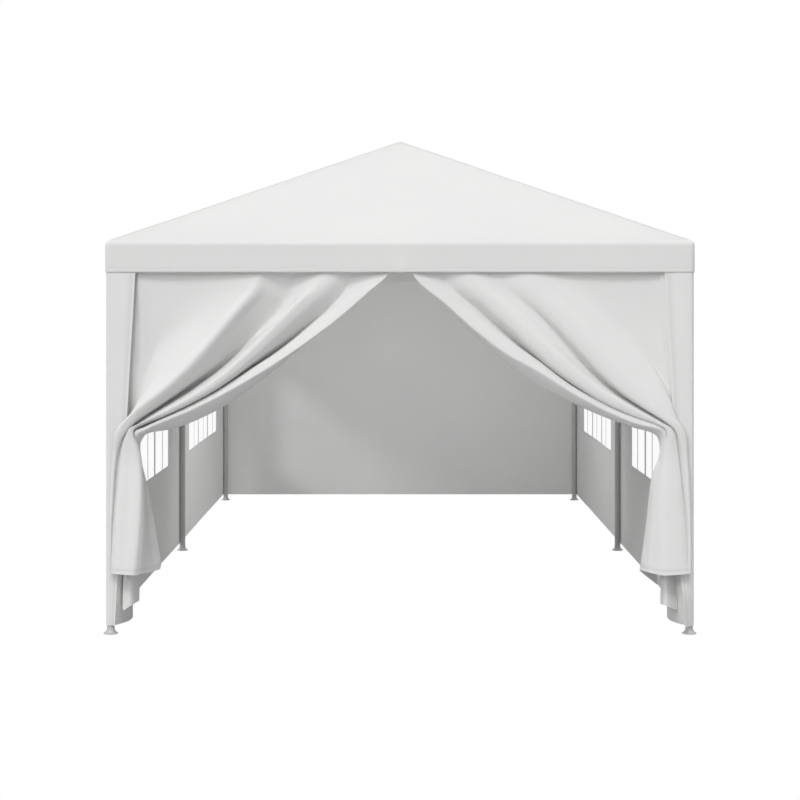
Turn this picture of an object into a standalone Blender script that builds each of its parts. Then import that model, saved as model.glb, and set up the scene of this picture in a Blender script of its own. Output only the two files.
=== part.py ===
"""Marquee tent of 3 x 6 m: a white tube frame with a hipped cloth roof, a valance, side and rear
walls with windows, and an open front whose curtains are drawn back to the front legs.

Units are metres and +Z is up. The open front faces -Y, and the origin is on the floor at the middle.
"""

import bpy
import bmesh
from math import cos, pi, sin, sqrt
from mathutils import Vector

# Driving dimensions of the tent
HALF_WIDTH = 1.5
HALF_LENGTH = 3.0
EAVE_HEIGHT = 1.981
RIDGE_HEIGHT = 2.6076
CLEARANCE = 0.0003

# Frame tubes, and the sleeves of the joints that they slide into
TUBE_RADIUS = 0.019
TUBE_WALL = 0.0012
SLEEVE_RADIUS = 0.021
SLEEVE_BORE = 0.0197
SLEEVE_LENGTH = 0.110
TUBE_STOP = 0.046
HUB_RADIUS = 0.0206
ROUND_SIDES = 16

# Tube axes: legs stand in three rows, and the hips run at 45 degrees in plan to the ridge
LEG_X = 1.473
LEG_Y = 2.973
RIDGE_END = LEG_Y - LEG_X
SLOPE = (RIDGE_HEIGHT - EAVE_HEIGHT) / LEG_X

# Foot of a leg: a trumpet flare over a round edge
FOOT_RADIUS = 0.0365
FOOT_EDGE = 0.005
FOOT_HEIGHT = 0.034
FOOT_FLOOR = 0.003

# Cloth
COVER_THICKNESS = 0.003
WALL_THICKNESS = 0.002
FILM_THICKNESS = 0.001
CURTAIN_THICKNESS = 0.004
VALANCE_BOTTOM = 1.841
VALANCE_CORNER = 0.025
WALL_BOTTOM = 0.045
WALL_TOP = 1.980
WALL_CORNER = 0.019
WALL_RETURN = 0.060
STRIP_EDGE_TOP = 1.337
STRIP_EDGE_BOTTOM = 1.449

# Windows: three in each bay of a side wall
WINDOW_PITCH = 0.630
WINDOW_WIDTH = 0.575
WINDOW_SILL = 0.626
WINDOW_SPRING = 1.300
WINDOW_CROWN = 1.450
WINDOW_STEPS = 8
FILM_OVERLAP = 0.020

# Curtain: its leading edge sweeps from the middle of the front beam to the tie at the leg
CURTAIN_TOP = 1.9617
CURTAIN_MIDDLE = 0.030
CURTAIN_OUTER = 1.330
TIE_HEIGHT = 1.015
SWEEP_PULL = ((0.030, 1.769), (0.860, 1.165))
SWEEP_END = 1.345
COLUMNS = 44
ROWS_ABOVE = 8
ROWS_BELOW = 5

# Folds of the curtain in plan, from its outer edge to its leading edge: share of the width,
# then X and Y at the tie, then X, Y and Z at the lower hem
FOLDS = (
    (0.00, (1.381, -2.955), (1.438, -2.982, 0.045)),
    (0.20, (1.366, -2.906), (1.397, -2.720, 0.045)),
    (0.24, (1.362, -2.912), (1.374, -2.706, 0.110)),
    (0.42, (1.360, -2.968), (1.390, -2.962, 0.126)),
    (0.46, (1.354, -3.003), (1.364, -3.005, 0.220)),
    (0.52, (1.366, -3.002), (1.458, -3.004, 0.310)),
    (0.57, (1.350, -3.001), (1.400, -3.004, 0.310)),
    (0.62, (1.335, -2.998), (1.330, -2.980, 0.310)),
    (0.72, (1.308, -2.970), (1.229, -2.935, 0.320)),
    (0.86, (1.316, -2.912), (1.275, -2.820, 0.480)),
    (1.00, (1.340, -2.958), (1.325, -2.900, 0.640)),
)

# Tie: a strap from the leg round the gathered curtain
TIE_THICKNESS = 0.0015
TIE_WIDTH = 0.025
TIE_DROP = 0.030
TIE_INNER = 1.2980
TIE_OUTER = 1.3885
TIE_FRONT = -3.0065
TIE_BACK = -2.8960
TIE_CORNER = 0.022
TIE_SPREAD = 0.007


def clear_scene():
    """Start from an empty scene."""
    for obj in list(bpy.data.objects):
        bpy.data.objects.remove(obj, do_unlink=True)


def new_collection(name, hidden=False):
    """Make a collection in the scene."""
    collection = bpy.data.collections.new(name)
    bpy.context.scene.collection.children.link(collection)
    collection.hide_render = hidden
    return collection


def new_material(name, color, roughness, metallic=0.0, alpha=1.0):
    """Make a Principled material."""
    material = bpy.data.materials.new(name)
    material.use_nodes = True
    shader = material.node_tree.nodes["Principled BSDF"]
    shader.inputs["Base Color"].default_value = (*color, 1.0)
    shader.inputs["Roughness"].default_value = roughness
    shader.inputs["Metallic"].default_value = metallic
    shader.inputs["Alpha"].default_value = alpha
    material.diffuse_color = (*color, alpha)
    return material


clear_scene()
TENT = new_collection("marquee_tent")
CUTTERS = new_collection("cutters", hidden=True)
STEEL = new_material("powder_coated_steel", (0.80, 0.80, 0.79), 0.35, metallic=0.2)
COVER = new_material("roof_cloth", (0.86, 0.87, 0.86), 0.55)
CLOTH = new_material("wall_cloth", (0.84, 0.85, 0.85), 0.60)
FILM = new_material("window_film", (0.95, 0.97, 0.98), 0.08, alpha=0.25)
WEBBING = new_material("tie_webbing", (0.80, 0.80, 0.78), 0.80)


def add_object(name, mesh, material, collection=None):
    """Link a mesh to the tent under its name."""
    obj = bpy.data.objects.new(name, mesh)
    if material:
        mesh.materials.append(material)
    (collection or TENT).objects.link(obj)
    return obj


def mesh_from(name, points, faces, edges=()):
    """Make a mesh from its points and faces, or from edges."""
    mesh = bpy.data.meshes.new(name)
    mesh.from_pydata([tuple(p) for p in points], list(edges), list(faces))
    mesh.update()
    return mesh


def loft(lower, upper):
    """Points and faces of a closed solid between two outlines with the same number of points."""
    count = len(lower)
    faces = [tuple(reversed(range(count))), tuple(range(count, 2 * count))]
    for i in range(count):
        j = (i + 1) % count
        faces.append((i, j, count + j, count + i))
    return list(lower) + list(upper), faces


def extruded(name, outline, material, low, high, collection=None):
    """Solid with a counterclockwise plan outline, between two heights."""
    lower = [(x, y, low) for x, y in outline]
    upper = [(x, y, high) for x, y in outline]
    points, faces = loft(lower, upper)
    return add_object(name, mesh_from(name, points, faces), material, collection)


def arc(centre, radius, start, end, steps):
    """Points of a plan arc between two angles in degrees."""
    points = []
    for i in range(steps + 1):
        angle = (start + (end - start) * i / steps) * pi / 180
        points.append((centre[0] + radius * cos(angle), centre[1] + radius * sin(angle)))
    return points


def turned(name, profile, closed, material, location, direction):
    """Solid of revolution about a direction, from a profile of (radius, height) points."""
    points = [(radius, 0.0, height) for radius, height in profile]
    edges = [(i, i + 1) for i in range(len(points) - 1)]
    if closed:
        edges.append((len(points) - 1, 0))
    obj = add_object(name, mesh_from(name, points, [], edges), material)
    obj.location = location
    obj.rotation_euler = Vector(direction).to_track_quat("Z", "Y").to_euler()
    screw = obj.modifiers.new("Turn", "SCREW")
    screw.axis = "Z"
    screw.steps = ROUND_SIDES
    screw.render_steps = ROUND_SIDES
    screw.use_merge_vertices = True
    screw.merge_threshold = 0.0001
    return obj


def tube(name, start, end, trim_start=TUBE_STOP, trim_end=TUBE_STOP):
    """Hollow frame tube between two hub centres, cut short to fit in their sleeves."""
    start = Vector(start)
    end = Vector(end)
    direction = (end - start).normalized()
    length = (end - start).length - trim_start - trim_end
    inner = TUBE_RADIUS - TUBE_WALL
    profile = [(TUBE_RADIUS, length), (TUBE_RADIUS, 0.0), (inner, 0.0), (inner, length)]
    return turned(name, profile, True, STEEL, start + direction * trim_start, direction)


def leg(name, x, y):
    """Leg tube with its welded trumpet foot."""
    top = EAVE_HEIGHT - TUBE_STOP
    inner = TUBE_RADIUS - TUBE_WALL
    profile = [(0.0, FOOT_FLOOR), (inner, FOOT_FLOOR), (inner, top), (TUBE_RADIUS, top)]
    flare = FOOT_RADIUS - TUBE_RADIUS
    drop = FOOT_HEIGHT - FOOT_EDGE
    for i in range(5):
        angle = i / 4 * pi / 2
        radius = TUBE_RADIUS + flare * (1 - cos(angle))
        profile.append((radius, FOOT_HEIGHT - drop * sin(angle)))
    profile.append((FOOT_RADIUS, 0.0))
    profile.append((0.0, 0.0))
    return turned(name, profile, False, STEEL, (x, y, 0.0), (0, 0, 1))


def add_cylinder(mesh, centre, direction, start, end, radius):
    """Add a cylinder along a direction to a bmesh."""
    direction = Vector(direction).normalized()
    turn = direction.to_track_quat("Z", "Y").to_matrix().to_4x4()
    made = bmesh.ops.create_cone(mesh, cap_ends=True, segments=ROUND_SIDES, radius1=radius,
                                 radius2=radius, depth=end - start)
    middle = Vector(centre) + direction * (start + end) / 2
    turn.translation = middle
    bmesh.ops.transform(mesh, matrix=turn, verts=made["verts"])


def cutter(name, mesh):
    """Turn a bmesh into a hidden tool object."""
    data = bpy.data.meshes.new(name)
    mesh.to_mesh(data)
    mesh.free()
    obj = add_object(name, data, None, CUTTERS)
    obj.display_type = "WIRE"
    obj.hide_render = True
    return obj


def combine(obj, tool, operation, self_crossing=False):
    """Join or cut with a tool object."""
    boolean = obj.modifiers.new(operation.title(), "BOOLEAN")
    boolean.operation = operation
    boolean.object = tool
    boolean.solver = "EXACT"
    boolean.use_self = self_crossing


def pipe_joint(name, centre, arms, through=None):
    """Welded joint: a hub with one sleeve for each arm, and one sleeve right through."""
    hub = bmesh.new()
    bmesh.ops.create_icosphere(hub, subdivisions=2, radius=HUB_RADIUS)
    data = bpy.data.meshes.new(name)
    hub.to_mesh(data)
    hub.free()
    obj = add_object(name, data, STEEL)
    obj.location = centre

    sleeves = bmesh.new()
    bores = bmesh.new()
    for direction in arms:
        add_cylinder(sleeves, centre, direction, 0.0, SLEEVE_LENGTH, SLEEVE_RADIUS)
        add_cylinder(bores, centre, direction, TUBE_STOP - 2 * CLEARANCE, SLEEVE_LENGTH + 0.01,
                     SLEEVE_BORE)
    if through:
        reach = SLEEVE_LENGTH
        add_cylinder(sleeves, centre, through, -reach, reach, SLEEVE_RADIUS)
        add_cylinder(bores, centre, through, -reach - 0.01, reach + 0.01, SLEEVE_BORE)
    combine(obj, cutter(name + "_sleeves", sleeves), "UNION", self_crossing=True)
    combine(obj, cutter(name + "_bores", bores), "DIFFERENCE")
    return obj


def eave_point(side, end):
    """Hub centre over a leg: side is -1 or 1, end is -1, 0 or 1."""
    return Vector((side * LEG_X, end * LEG_Y, EAVE_HEIGHT))


def ridge_point(end):
    """Hub centre on the ridge."""
    return Vector((0.0, end * RIDGE_END, RIDGE_HEIGHT))


SIDES = (("left", -1), ("right", 1))
ENDS = (("front", -1), ("rear", 1))


def build_frame():
    """Legs, joints, beams, rafters and ridge pole."""
    for side_name, side in SIDES:
        for row_name, row in (("front", -1), ("middle", 0), ("rear", 1)):
            leg(f"leg_{row_name}_{side_name}", side * LEG_X, row * LEG_Y)
        for end_name, end in ENDS:
            corner = eave_point(side, end)
            hip = ridge_point(end) - corner
            arms = [(0, 0, -1), (-side, 0, 0), (0, -end, 0), hip]
            pipe_joint(f"corner_joint_{end_name}_{side_name}", corner, arms)
            tube(f"hip_rafter_{end_name}_{side_name}", corner, ridge_point(end))
        middle = eave_point(side, 0)
        rise = ridge_point(0) - middle
        pipe_joint(f"eave_joint_{side_name}", middle, [(0, 0, -1), rise], through=(0, 1, 0))
        tube(f"middle_rafter_{side_name}", middle, ridge_point(0))
        tube(f"eave_beam_{side_name}", eave_point(side, -1), eave_point(side, 1))
    for end_name, end in ENDS:
        tube(f"eave_beam_{end_name}", eave_point(-1, end), eave_point(1, end))
        point = ridge_point(end)
        arms = [(0, -end, 0), eave_point(-1, end) - point, eave_point(1, end) - point]
        pipe_joint(f"ridge_joint_{end_name}", point, arms)
    middle = ridge_point(0)
    arms = [eave_point(-1, 0) - middle, eave_point(1, 0) - middle]
    pipe_joint("ridge_joint_middle", middle, arms, through=(0, 1, 0))
    tube("ridge_pole", ridge_point(-1), ridge_point(1))


def cover_height(run):
    """Height of the cover's underside, run metres in from the line of the leg axes."""
    lift = (SLEEVE_RADIUS + CLEARANCE) * sqrt(1 + SLOPE * SLOPE)
    return EAVE_HEIGHT + run * SLOPE + lift


def cover_panel(name, outline, run_of):
    """One slope of the roof cover, from its plan outline."""
    lower = [(x, y, cover_height(run_of(x, y))) for x, y in outline]
    upper = [(x, y, z + COVER_THICKNESS) for x, y, z in lower]
    points, faces = loft(lower, upper)
    add_object(name, mesh_from(name, points, faces), COVER)


def build_cover():
    """Roof slopes and the valance that hangs from their eave."""
    half_gap = CLEARANCE / 2
    radius = VALANCE_CORNER
    corner_x = HALF_WIDTH - radius
    corner_y = HALF_LENGTH - radius
    seam = half_gap * sqrt(2)

    def mirrored(points, side, end):
        turned_points = [(side * x, end * y) for x, y in points]
        return turned_points if side * end > 0 else list(reversed(turned_points))

    # Each slope's edge at a corner is half of the corner's arc
    side_arc = arc((corner_x, corner_y), radius, 2, 44.6, 4)
    end_arc = arc((corner_x, corner_y), radius, 45.4, 88, 4)
    for side_name, side in SIDES:
        outline = [(half_gap, -(RIDGE_END - seam))]
        outline += [(x, -y) for x, y in reversed(side_arc)]
        outline += side_arc
        outline += [(half_gap, RIDGE_END - seam)]
        cover_panel(f"roof_panel_{side_name}", mirrored(outline, side, 1),
                    lambda x, y, side=side: LEG_X - side * x)
    for end_name, end in ENDS:
        outline = [(0.0, RIDGE_END + seam)]
        outline += end_arc
        outline += [(-x, y) for x, y in reversed(end_arc)]
        cover_panel(f"roof_panel_{end_name}", mirrored(outline, 1, end),
                    lambda x, y, end=end: LEG_Y - end * y)

    top = cover_height(LEG_X - HALF_WIDTH) - CLEARANCE
    outer = rounded_rectangle(HALF_WIDTH, HALF_LENGTH, radius)
    inner = rounded_rectangle(HALF_WIDTH - COVER_THICKNESS, HALF_LENGTH - COVER_THICKNESS,
                              radius - COVER_THICKNESS)
    ring("valance", outer, inner, COVER, VALANCE_BOTTOM, top)


def rounded_rectangle(half_x, half_y, radius, steps=5):
    """Counterclockwise plan outline with rounded corners."""
    points = []
    for quarter, (sx, sy) in enumerate(((1, 1), (-1, 1), (-1, -1), (1, -1))):
        centre = (sx * (half_x - radius), sy * (half_y - radius))
        points += arc(centre, radius, 90 * quarter, 90 * quarter + 90, steps)
    return points


def ring(name, outer, inner, material, low, high):
    """Closed band between two plan outlines with the same number of points."""
    count = len(outer)
    points = []
    for outline, height in ((outer, low), (outer, high), (inner, high), (inner, low)):
        points += [(x, y, height) for x, y in outline]
    faces = []
    for band in range(4):
        first = band * count
        second = (band + 1) % 4 * count
        for i in range(count):
            j = (i + 1) % count
            faces.append((first + i, first + j, second + j, second + i))
    add_object(name, mesh_from(name, points, faces), material)


def window_outline(centre):
    """Outline of one window in (y, z): a sill, two jambs and an arched head."""
    half = WINDOW_WIDTH / 2
    rise = WINDOW_CROWN - WINDOW_SPRING
    points = [(centre - half, WINDOW_SILL), (centre + half, WINDOW_SILL)]
    for i in range(WINDOW_STEPS + 1):
        angle = pi * i / WINDOW_STEPS
        points.append((centre + half * cos(angle), WINDOW_SPRING + rise * sin(angle)))
    return points


def window_cutter(name, side, bay_middle):
    """Tool with the three windows of one bay."""
    mesh = bmesh.new()
    for step in (-1, 0, 1):
        outline = window_outline(bay_middle + step * WINDOW_PITCH)
        near = [mesh.verts.new((side * (LEG_X + 0.010), y, z)) for y, z in outline]
        far = [mesh.verts.new((side * (LEG_X + 0.040), y, z)) for y, z in outline]
        count = len(outline)
        mesh.faces.new(list(reversed(near)))
        mesh.faces.new(far)
        for i in range(count):
            j = (i + 1) % count
            mesh.faces.new((near[i], near[j], far[j], far[i]))
    bmesh.ops.recalc_face_normals(mesh, faces=mesh.faces)
    return cutter(name, mesh)


def build_walls():
    """Side walls with their windows, the rear wall, and the strips at the front corners."""
    inside = LEG_X + SLEEVE_RADIUS + CLEARANCE
    outside = inside + WALL_THICKNESS
    face = LEG_Y + SLEEVE_RADIUS + CLEARANCE
    back = face + WALL_THICKNESS
    returned = back - WALL_RETURN
    bay_middle = LEG_Y / 2
    for side_name, side in SIDES:
        for end_name, end in ENDS:
            name = f"wall_{side_name}_{end_name}"
            low_y, high_y = sorted((end * CLEARANCE / 2, end * (returned - CLEARANCE)))
            low_x, high_x = sorted((side * inside, side * outside))
            outline = [(low_x, low_y), (high_x, low_y), (high_x, high_y), (low_x, high_y)]
            wall = extruded(name, outline, CLOTH, WALL_BOTTOM, WALL_TOP)
            tool = window_cutter(name + "_windows", side, end * bay_middle)
            combine(wall, tool, "DIFFERENCE")

            half = WINDOW_PITCH + WINDOW_WIDTH / 2 + FILM_OVERLAP
            film_out = inside - CLEARANCE
            film_in = film_out - FILM_THICKNESS
            low_x, high_x = sorted((side * film_in, side * film_out))
            low_y = end * bay_middle - half
            high_y = end * bay_middle + half
            outline = [(low_x, low_y), (high_x, low_y), (high_x, high_y), (low_x, high_y)]
            extruded(f"window_film_{side_name}_{end_name}", outline, FILM,
                     WINDOW_SILL - FILM_OVERLAP, WINDOW_CROWN + FILM_OVERLAP)

    outer_radius = WALL_CORNER + WALL_THICKNESS
    centre = (outside - outer_radius, back - outer_radius)
    outer = [(outside, returned)] + arc(centre, outer_radius, 0, 90, 4)
    inner = [(inside, returned)] + arc(centre, WALL_CORNER, 0, 90, 4)
    outline = outer + [(-x, y) for x, y in reversed(outer)]
    outline += [(-x, y) for x, y in inner] + list(reversed(inner))
    extruded("rear_wall", outline, CLOTH, WALL_BOTTOM, WALL_TOP)

    for side_name, side in SIDES:
        levels = []
        for edge, height in ((STRIP_EDGE_BOTTOM, WALL_BOTTOM), (STRIP_EDGE_TOP, WALL_TOP)):
            outline = outer + [(edge, back), (edge, face)] + list(reversed(inner))
            points = [(side * x, -y, height) for x, y in outline]
            levels.append(points if side < 0 else list(reversed(points)))
        points, faces = loft(*levels)
        add_object(f"corner_strip_{side_name}", mesh_from("corner_strip", points, faces), CLOTH)


def fold_at(share):
    """Plan point at the tie and point at the lower hem, for a share of the curtain's width."""
    for left, right in zip(FOLDS, FOLDS[1:]):
        if share <= right[0] or right is FOLDS[-1]:
            part = (share - left[0]) / (right[0] - left[0])
            tie = Vector(left[1]).lerp(Vector(right[1]), part)
            hem = Vector(left[2]).lerp(Vector(right[2]), part)
            return tie, hem
    return None


def smoothed(points, passes):
    """Round the corners of a row of points, with its ends kept."""
    for _ in range(passes):
        middle = [(a + b * 2 + c) / 4 for a, b, c in zip(points, points[1:], points[2:])]
        points = [points[0]] + middle + [points[-1]]
    return points


def sweep(part):
    """Point (x, z) of the leading edge between the front beam and the tie."""
    stops = ((CURTAIN_MIDDLE, CURTAIN_TOP),) + SWEEP_PULL + ((SWEEP_END, TIE_HEIGHT),)
    weights = ((1 - part) ** 3, 3 * part * (1 - part) ** 2, 3 * part * part * (1 - part), part ** 3)
    x = sum(weight * stop[0] for weight, stop in zip(weights, stops))
    z = sum(weight * stop[1] for weight, stop in zip(weights, stops))
    return x, z


def curtain_rows():
    """Rows of points down the right curtain, from the beam to the tie and on to the hem."""
    shares = [i / COLUMNS for i in range(COLUMNS + 1)]
    ties = smoothed([fold_at(share)[0] for share in shares], 2)
    hems = smoothed([fold_at(share)[1] for share in shares], 2)
    rows = []
    for row in range(ROWS_ABOVE + 1):
        part = row / ROWS_ABOVE
        edge_x, edge_z = sweep(part)
        spread = (edge_x - SWEEP_END) / (CURTAIN_MIDDLE - SWEEP_END)
        points = []
        for share, tie in zip(shares, ties):
            top_x = CURTAIN_OUTER + (CURTAIN_MIDDLE - CURTAIN_OUTER) * share
            straight = CURTAIN_TOP + (TIE_HEIGHT - CURTAIN_TOP) * part
            x = tie.x + (top_x - tie.x) * spread
            y = tie.y + (-LEG_Y - tie.y) * spread ** 0.6
            points.append(Vector((x, y, straight + (edge_z - straight) * share)))
        rows.append(points)
    for row in range(1, ROWS_BELOW + 1):
        part = row / ROWS_BELOW
        spread = part * part * (3 - 2 * part)
        points = []
        for tie, hem in zip(ties, hems):
            plan = tie.lerp(Vector((hem.x, hem.y)), spread)
            points.append(Vector((plan.x, plan.y, TIE_HEIGHT + (hem.z - TIE_HEIGHT) * part)))
        rows.append(points)
    return rows


def build_curtains():
    """Curtains drawn back to the front legs, and the straps that hold them."""
    rows = curtain_rows()
    width = COLUMNS + 1
    for side_name, side in SIDES:
        points = [(side * p.x, p.y, p.z) for row in rows for p in row]
        faces = []
        for r in range(len(rows) - 1):
            for c in range(COLUMNS):
                first = r * width + c
                quad = (first, first + 1, first + width + 1, first + width)
                faces.append(quad if side > 0 else tuple(reversed(quad)))
        curtain = add_object(f"curtain_{side_name}", mesh_from("curtain", points, faces), CLOTH)
        solid = curtain.modifiers.new("Thickness", "SOLIDIFY")
        solid.thickness = CURTAIN_THICKNESS
        solid.offset = 0.0

        path = tie_path()
        half = TIE_THICKNESS / 2
        outline = offset_path(path, half) + list(reversed(offset_path(path, -half)))
        outline = [(side * x, y) for x, y in outline]
        if side < 0:
            outline.reverse()
        middle = TIE_HEIGHT - TIE_DROP
        extruded(f"curtain_tie_{side_name}", outline, WEBBING, middle - TIE_WIDTH / 2,
                 middle + TIE_WIDTH / 2)


def tie_path():
    """Plan route of the right strap: from the leg, round the curtain and back to the leg."""
    touch = LEG_X - sqrt(TUBE_RADIUS ** 2 - TIE_SPREAD ** 2) - 2 * CLEARANCE
    near = TIE_INNER + TIE_CORNER
    far = TIE_OUTER - TIE_CORNER
    front = TIE_FRONT + TIE_CORNER
    back = TIE_BACK - TIE_CORNER
    path = [(touch, -LEG_Y - TIE_SPREAD)]
    path += arc((far, front), TIE_CORNER, 0, -90, 4)
    path += arc((near, front), TIE_CORNER, -90, -180, 4)
    path += arc((near, back), TIE_CORNER, 180, 90, 4)
    path += arc((far, back), TIE_CORNER, 90, 0, 4)
    path.append((touch, -LEG_Y + TIE_SPREAD))
    return path


def offset_path(path, distance):
    """Plan path moved sideways by a distance."""
    moved = []
    for i, (x, y) in enumerate(path):
        before = path[max(i - 1, 0)]
        after = path[min(i + 1, len(path) - 1)]
        run = Vector((after[0] - before[0], after[1] - before[1])).normalized()
        moved.append((x + run.y * distance, y - run.x * distance))
    return moved


build_frame()
build_cover()
build_walls()
build_curtains()
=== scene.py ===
# %% [markdown]
# # Marquee tent, 3 x 6 m
# A free-standing marquee: a coated steel tube frame, one loose cloth cover with a valance, hung side
# walls with clear windows, and an open front whose two curtains are drawn back to the legs.
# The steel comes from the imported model. The cloth is made here, because cloth is folds, hems and
# weave, and those are surface work. The front faces -Y and the floor is at zero height.

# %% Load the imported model
import bmesh
import bpy
from math import atan2, cos, pi, radians, sin, sqrt
from mathutils import Matrix, Vector


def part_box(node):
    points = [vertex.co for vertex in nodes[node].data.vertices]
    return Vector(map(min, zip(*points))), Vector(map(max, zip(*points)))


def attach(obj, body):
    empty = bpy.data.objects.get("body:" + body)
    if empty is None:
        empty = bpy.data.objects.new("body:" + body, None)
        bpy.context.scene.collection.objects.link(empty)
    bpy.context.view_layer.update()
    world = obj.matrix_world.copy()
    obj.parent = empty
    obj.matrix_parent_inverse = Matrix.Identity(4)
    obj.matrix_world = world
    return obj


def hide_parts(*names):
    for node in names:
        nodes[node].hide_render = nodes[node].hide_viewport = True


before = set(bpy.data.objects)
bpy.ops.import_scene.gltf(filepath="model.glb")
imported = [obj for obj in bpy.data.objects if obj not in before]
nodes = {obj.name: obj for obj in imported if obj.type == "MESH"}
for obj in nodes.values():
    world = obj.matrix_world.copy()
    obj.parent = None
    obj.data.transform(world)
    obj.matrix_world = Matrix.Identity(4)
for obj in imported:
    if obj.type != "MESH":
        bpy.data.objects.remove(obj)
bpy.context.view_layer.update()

# %% [markdown]
# ## Camera
# The photograph looks level and square at the open front from about 9 m away. Verticals don't
# converge, so the camera stays level and the picture is shifted down instead of tilting the lens.
# The lens length follows from how much smaller the rear legs look than the front ones, on a tent that
# is 6 m long.

# %% Place the camera
CAMERA_DISTANCE = 12.0
EYE_HEIGHT = 1.713
LENS = 79.74
PICTURE_SHIFT = -0.1285

camera_data = bpy.data.cameras.new("photo_camera")
camera_data.lens = LENS
camera_data.sensor_width = 36.0
camera_data.shift_y = PICTURE_SHIFT
camera = bpy.data.objects.new("photo_camera", camera_data)
camera.location = (0.0, -CAMERA_DISTANCE, EYE_HEIGHT)
camera.rotation_euler = (radians(90), 0.0, 0.0)
bpy.context.scene.collection.objects.link(camera)
bpy.context.scene.camera = camera
print("camera at", tuple(camera.location), "lens", LENS)

# %% [markdown]
# ## Colours and shader nodes
# Colours are written as the hex values that a colour picker shows, and one function turns them into
# the linear values that the renderer works with. A second small function adds a shader node, sets
# its values and makes its links, so that each material reads as a short recipe.


# %% Helpers for colours and nodes
def linear(hex_value, alpha=1.0):
    """Linear colour of an sRGB hex value such as F2F2F0."""
    parts = [int(hex_value[i:i + 2], 16) / 255 for i in (0, 2, 4)]
    return [p / 12.92 if p <= 0.04045 else ((p + 0.055) / 1.055) ** 2.4 for p in parts] + [alpha]


def add_node(tree, kind, values=None, links=None, **settings):
    """Add a node, set its properties and socket values, and link other sockets into it."""
    node = tree.nodes.new(kind)
    for name, value in settings.items():
        setattr(node, name, value)
    for name, value in (values or {}).items():
        node.inputs[name].default_value = value
    for name, socket in (links or {}).items():
        tree.links.new(socket, node.inputs[name])
    return node


# %% [markdown]
# ## Studio
# A cut-out product picture has a pure white surround, also under the tent. So the sky and the floor
# are white to the camera, and light the tent as a soft grey dome and a pale floor. A small soft sun
# stands to the left: its height and side come from the patch of light that it throws through the
# left windows onto the rear wall. A broad one above the camera gives the folds their bright crests
# and the valance its shadow, and a weak fill under the roof stands for the glow of the cover.

# %% Build the white surround and the lights
SKY_HIGH = 0.86
SKY_LOW = 0.44
SKY_LEFT = 1.10
SKY_RIGHT = 0.90
FLOOR_SIZE = 80.0
FLOOR_GREY = "C6C6C6"
SUN_SIDE = 39.0
SUN_HEIGHT = 27.0
SUN_STRENGTH = 0.64
SUN_SOFTNESS = 10.0
FRONT_SIDE = 10.0
FRONT_HEIGHT = 53.0
FRONT_STRENGTH = 1.46
FRONT_SOFTNESS = 14.0
FILL_POWER = 20.0
FILL_TILT = 30.0
FILL_SIZE = (1.6, 1.8)
FILL_PLACE = (0.0, 0.55, 1.50)

scene = bpy.context.scene
scene.view_settings.view_transform = "Standard"
world = bpy.data.worlds.new("white_studio")
scene.world = world
world.use_nodes = True
tree = world.node_tree
tree.nodes.clear()
direction = add_node(tree, "ShaderNodeTexCoord")
height = add_node(tree, "ShaderNodeSeparateXYZ", links={"Vector": direction.outputs["Generated"]})
dome = add_node(tree, "ShaderNodeMapRange", links={"Value": height.outputs["Z"]},
                values={"From Min": 0.0, "From Max": 1.0, "To Min": SKY_LOW, "To Max": SKY_HIGH})
side = add_node(tree, "ShaderNodeMapRange", links={"Value": height.outputs["X"]},
                values={"From Min": -1.0, "From Max": 1.0, "To Min": SKY_LEFT, "To Max": SKY_RIGHT})
level = add_node(tree, "ShaderNodeMath", operation="MULTIPLY")
tree.links.new(dome.outputs["Result"], level.inputs[0])
tree.links.new(side.outputs["Result"], level.inputs[1])
seen = add_node(tree, "ShaderNodeLightPath")
soft_sky = add_node(tree, "ShaderNodeBackground", values={"Color": linear("FFFFFF")},
                    links={"Strength": level.outputs[0]})
white_sky = add_node(tree, "ShaderNodeBackground", values={"Color": linear("FFFFFF"), "Strength": 1.0})
both = add_node(tree, "ShaderNodeMixShader", links={0: seen.outputs["Is Camera Ray"],
                                                    1: soft_sky.outputs[0], 2: white_sky.outputs[0]})
add_node(tree, "ShaderNodeOutputWorld", links={"Surface": both.outputs[0]})

bpy.ops.object.select_all(action="DESELECT")
bpy.ops.mesh.primitive_plane_add(size=FLOOR_SIZE, location=(0.0, 0.0, 0.0))
floor = bpy.context.active_object
floor.name = "studio_floor"
paint = bpy.data.materials.new("studio_floor_paint")
paint.use_nodes = True
tree = paint.node_tree
tree.nodes.clear()
seen = add_node(tree, "ShaderNodeLightPath")
pale = add_node(tree, "ShaderNodeBsdfDiffuse", values={"Color": linear(FLOOR_GREY)})
white = add_node(tree, "ShaderNodeEmission", values={"Color": linear("FFFFFF"), "Strength": 1.0})
both = add_node(tree, "ShaderNodeMixShader", links={0: seen.outputs["Is Camera Ray"],
                                                    1: pale.outputs[0], 2: white.outputs[0]})
add_node(tree, "ShaderNodeOutputMaterial", links={"Surface": both.outputs[0]})
floor.data.materials.append(paint)


def add_sun(name, side_angle, height_angle, strength, softness):
    """Sun that stands left of the camera by one angle and above the floor by another."""
    data = bpy.data.lights.new(name, "SUN")
    data.energy = strength
    data.angle = radians(softness)
    level = cos(radians(height_angle))
    toward = Vector((-sin(radians(side_angle)) * level, -cos(radians(side_angle)) * level, 0.0))
    toward.z = sin(radians(height_angle))
    sun = bpy.data.objects.new(name, data)
    sun.rotation_euler = toward.to_track_quat("Z", "Y").to_euler()
    scene.collection.objects.link(sun)
    return sun


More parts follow.
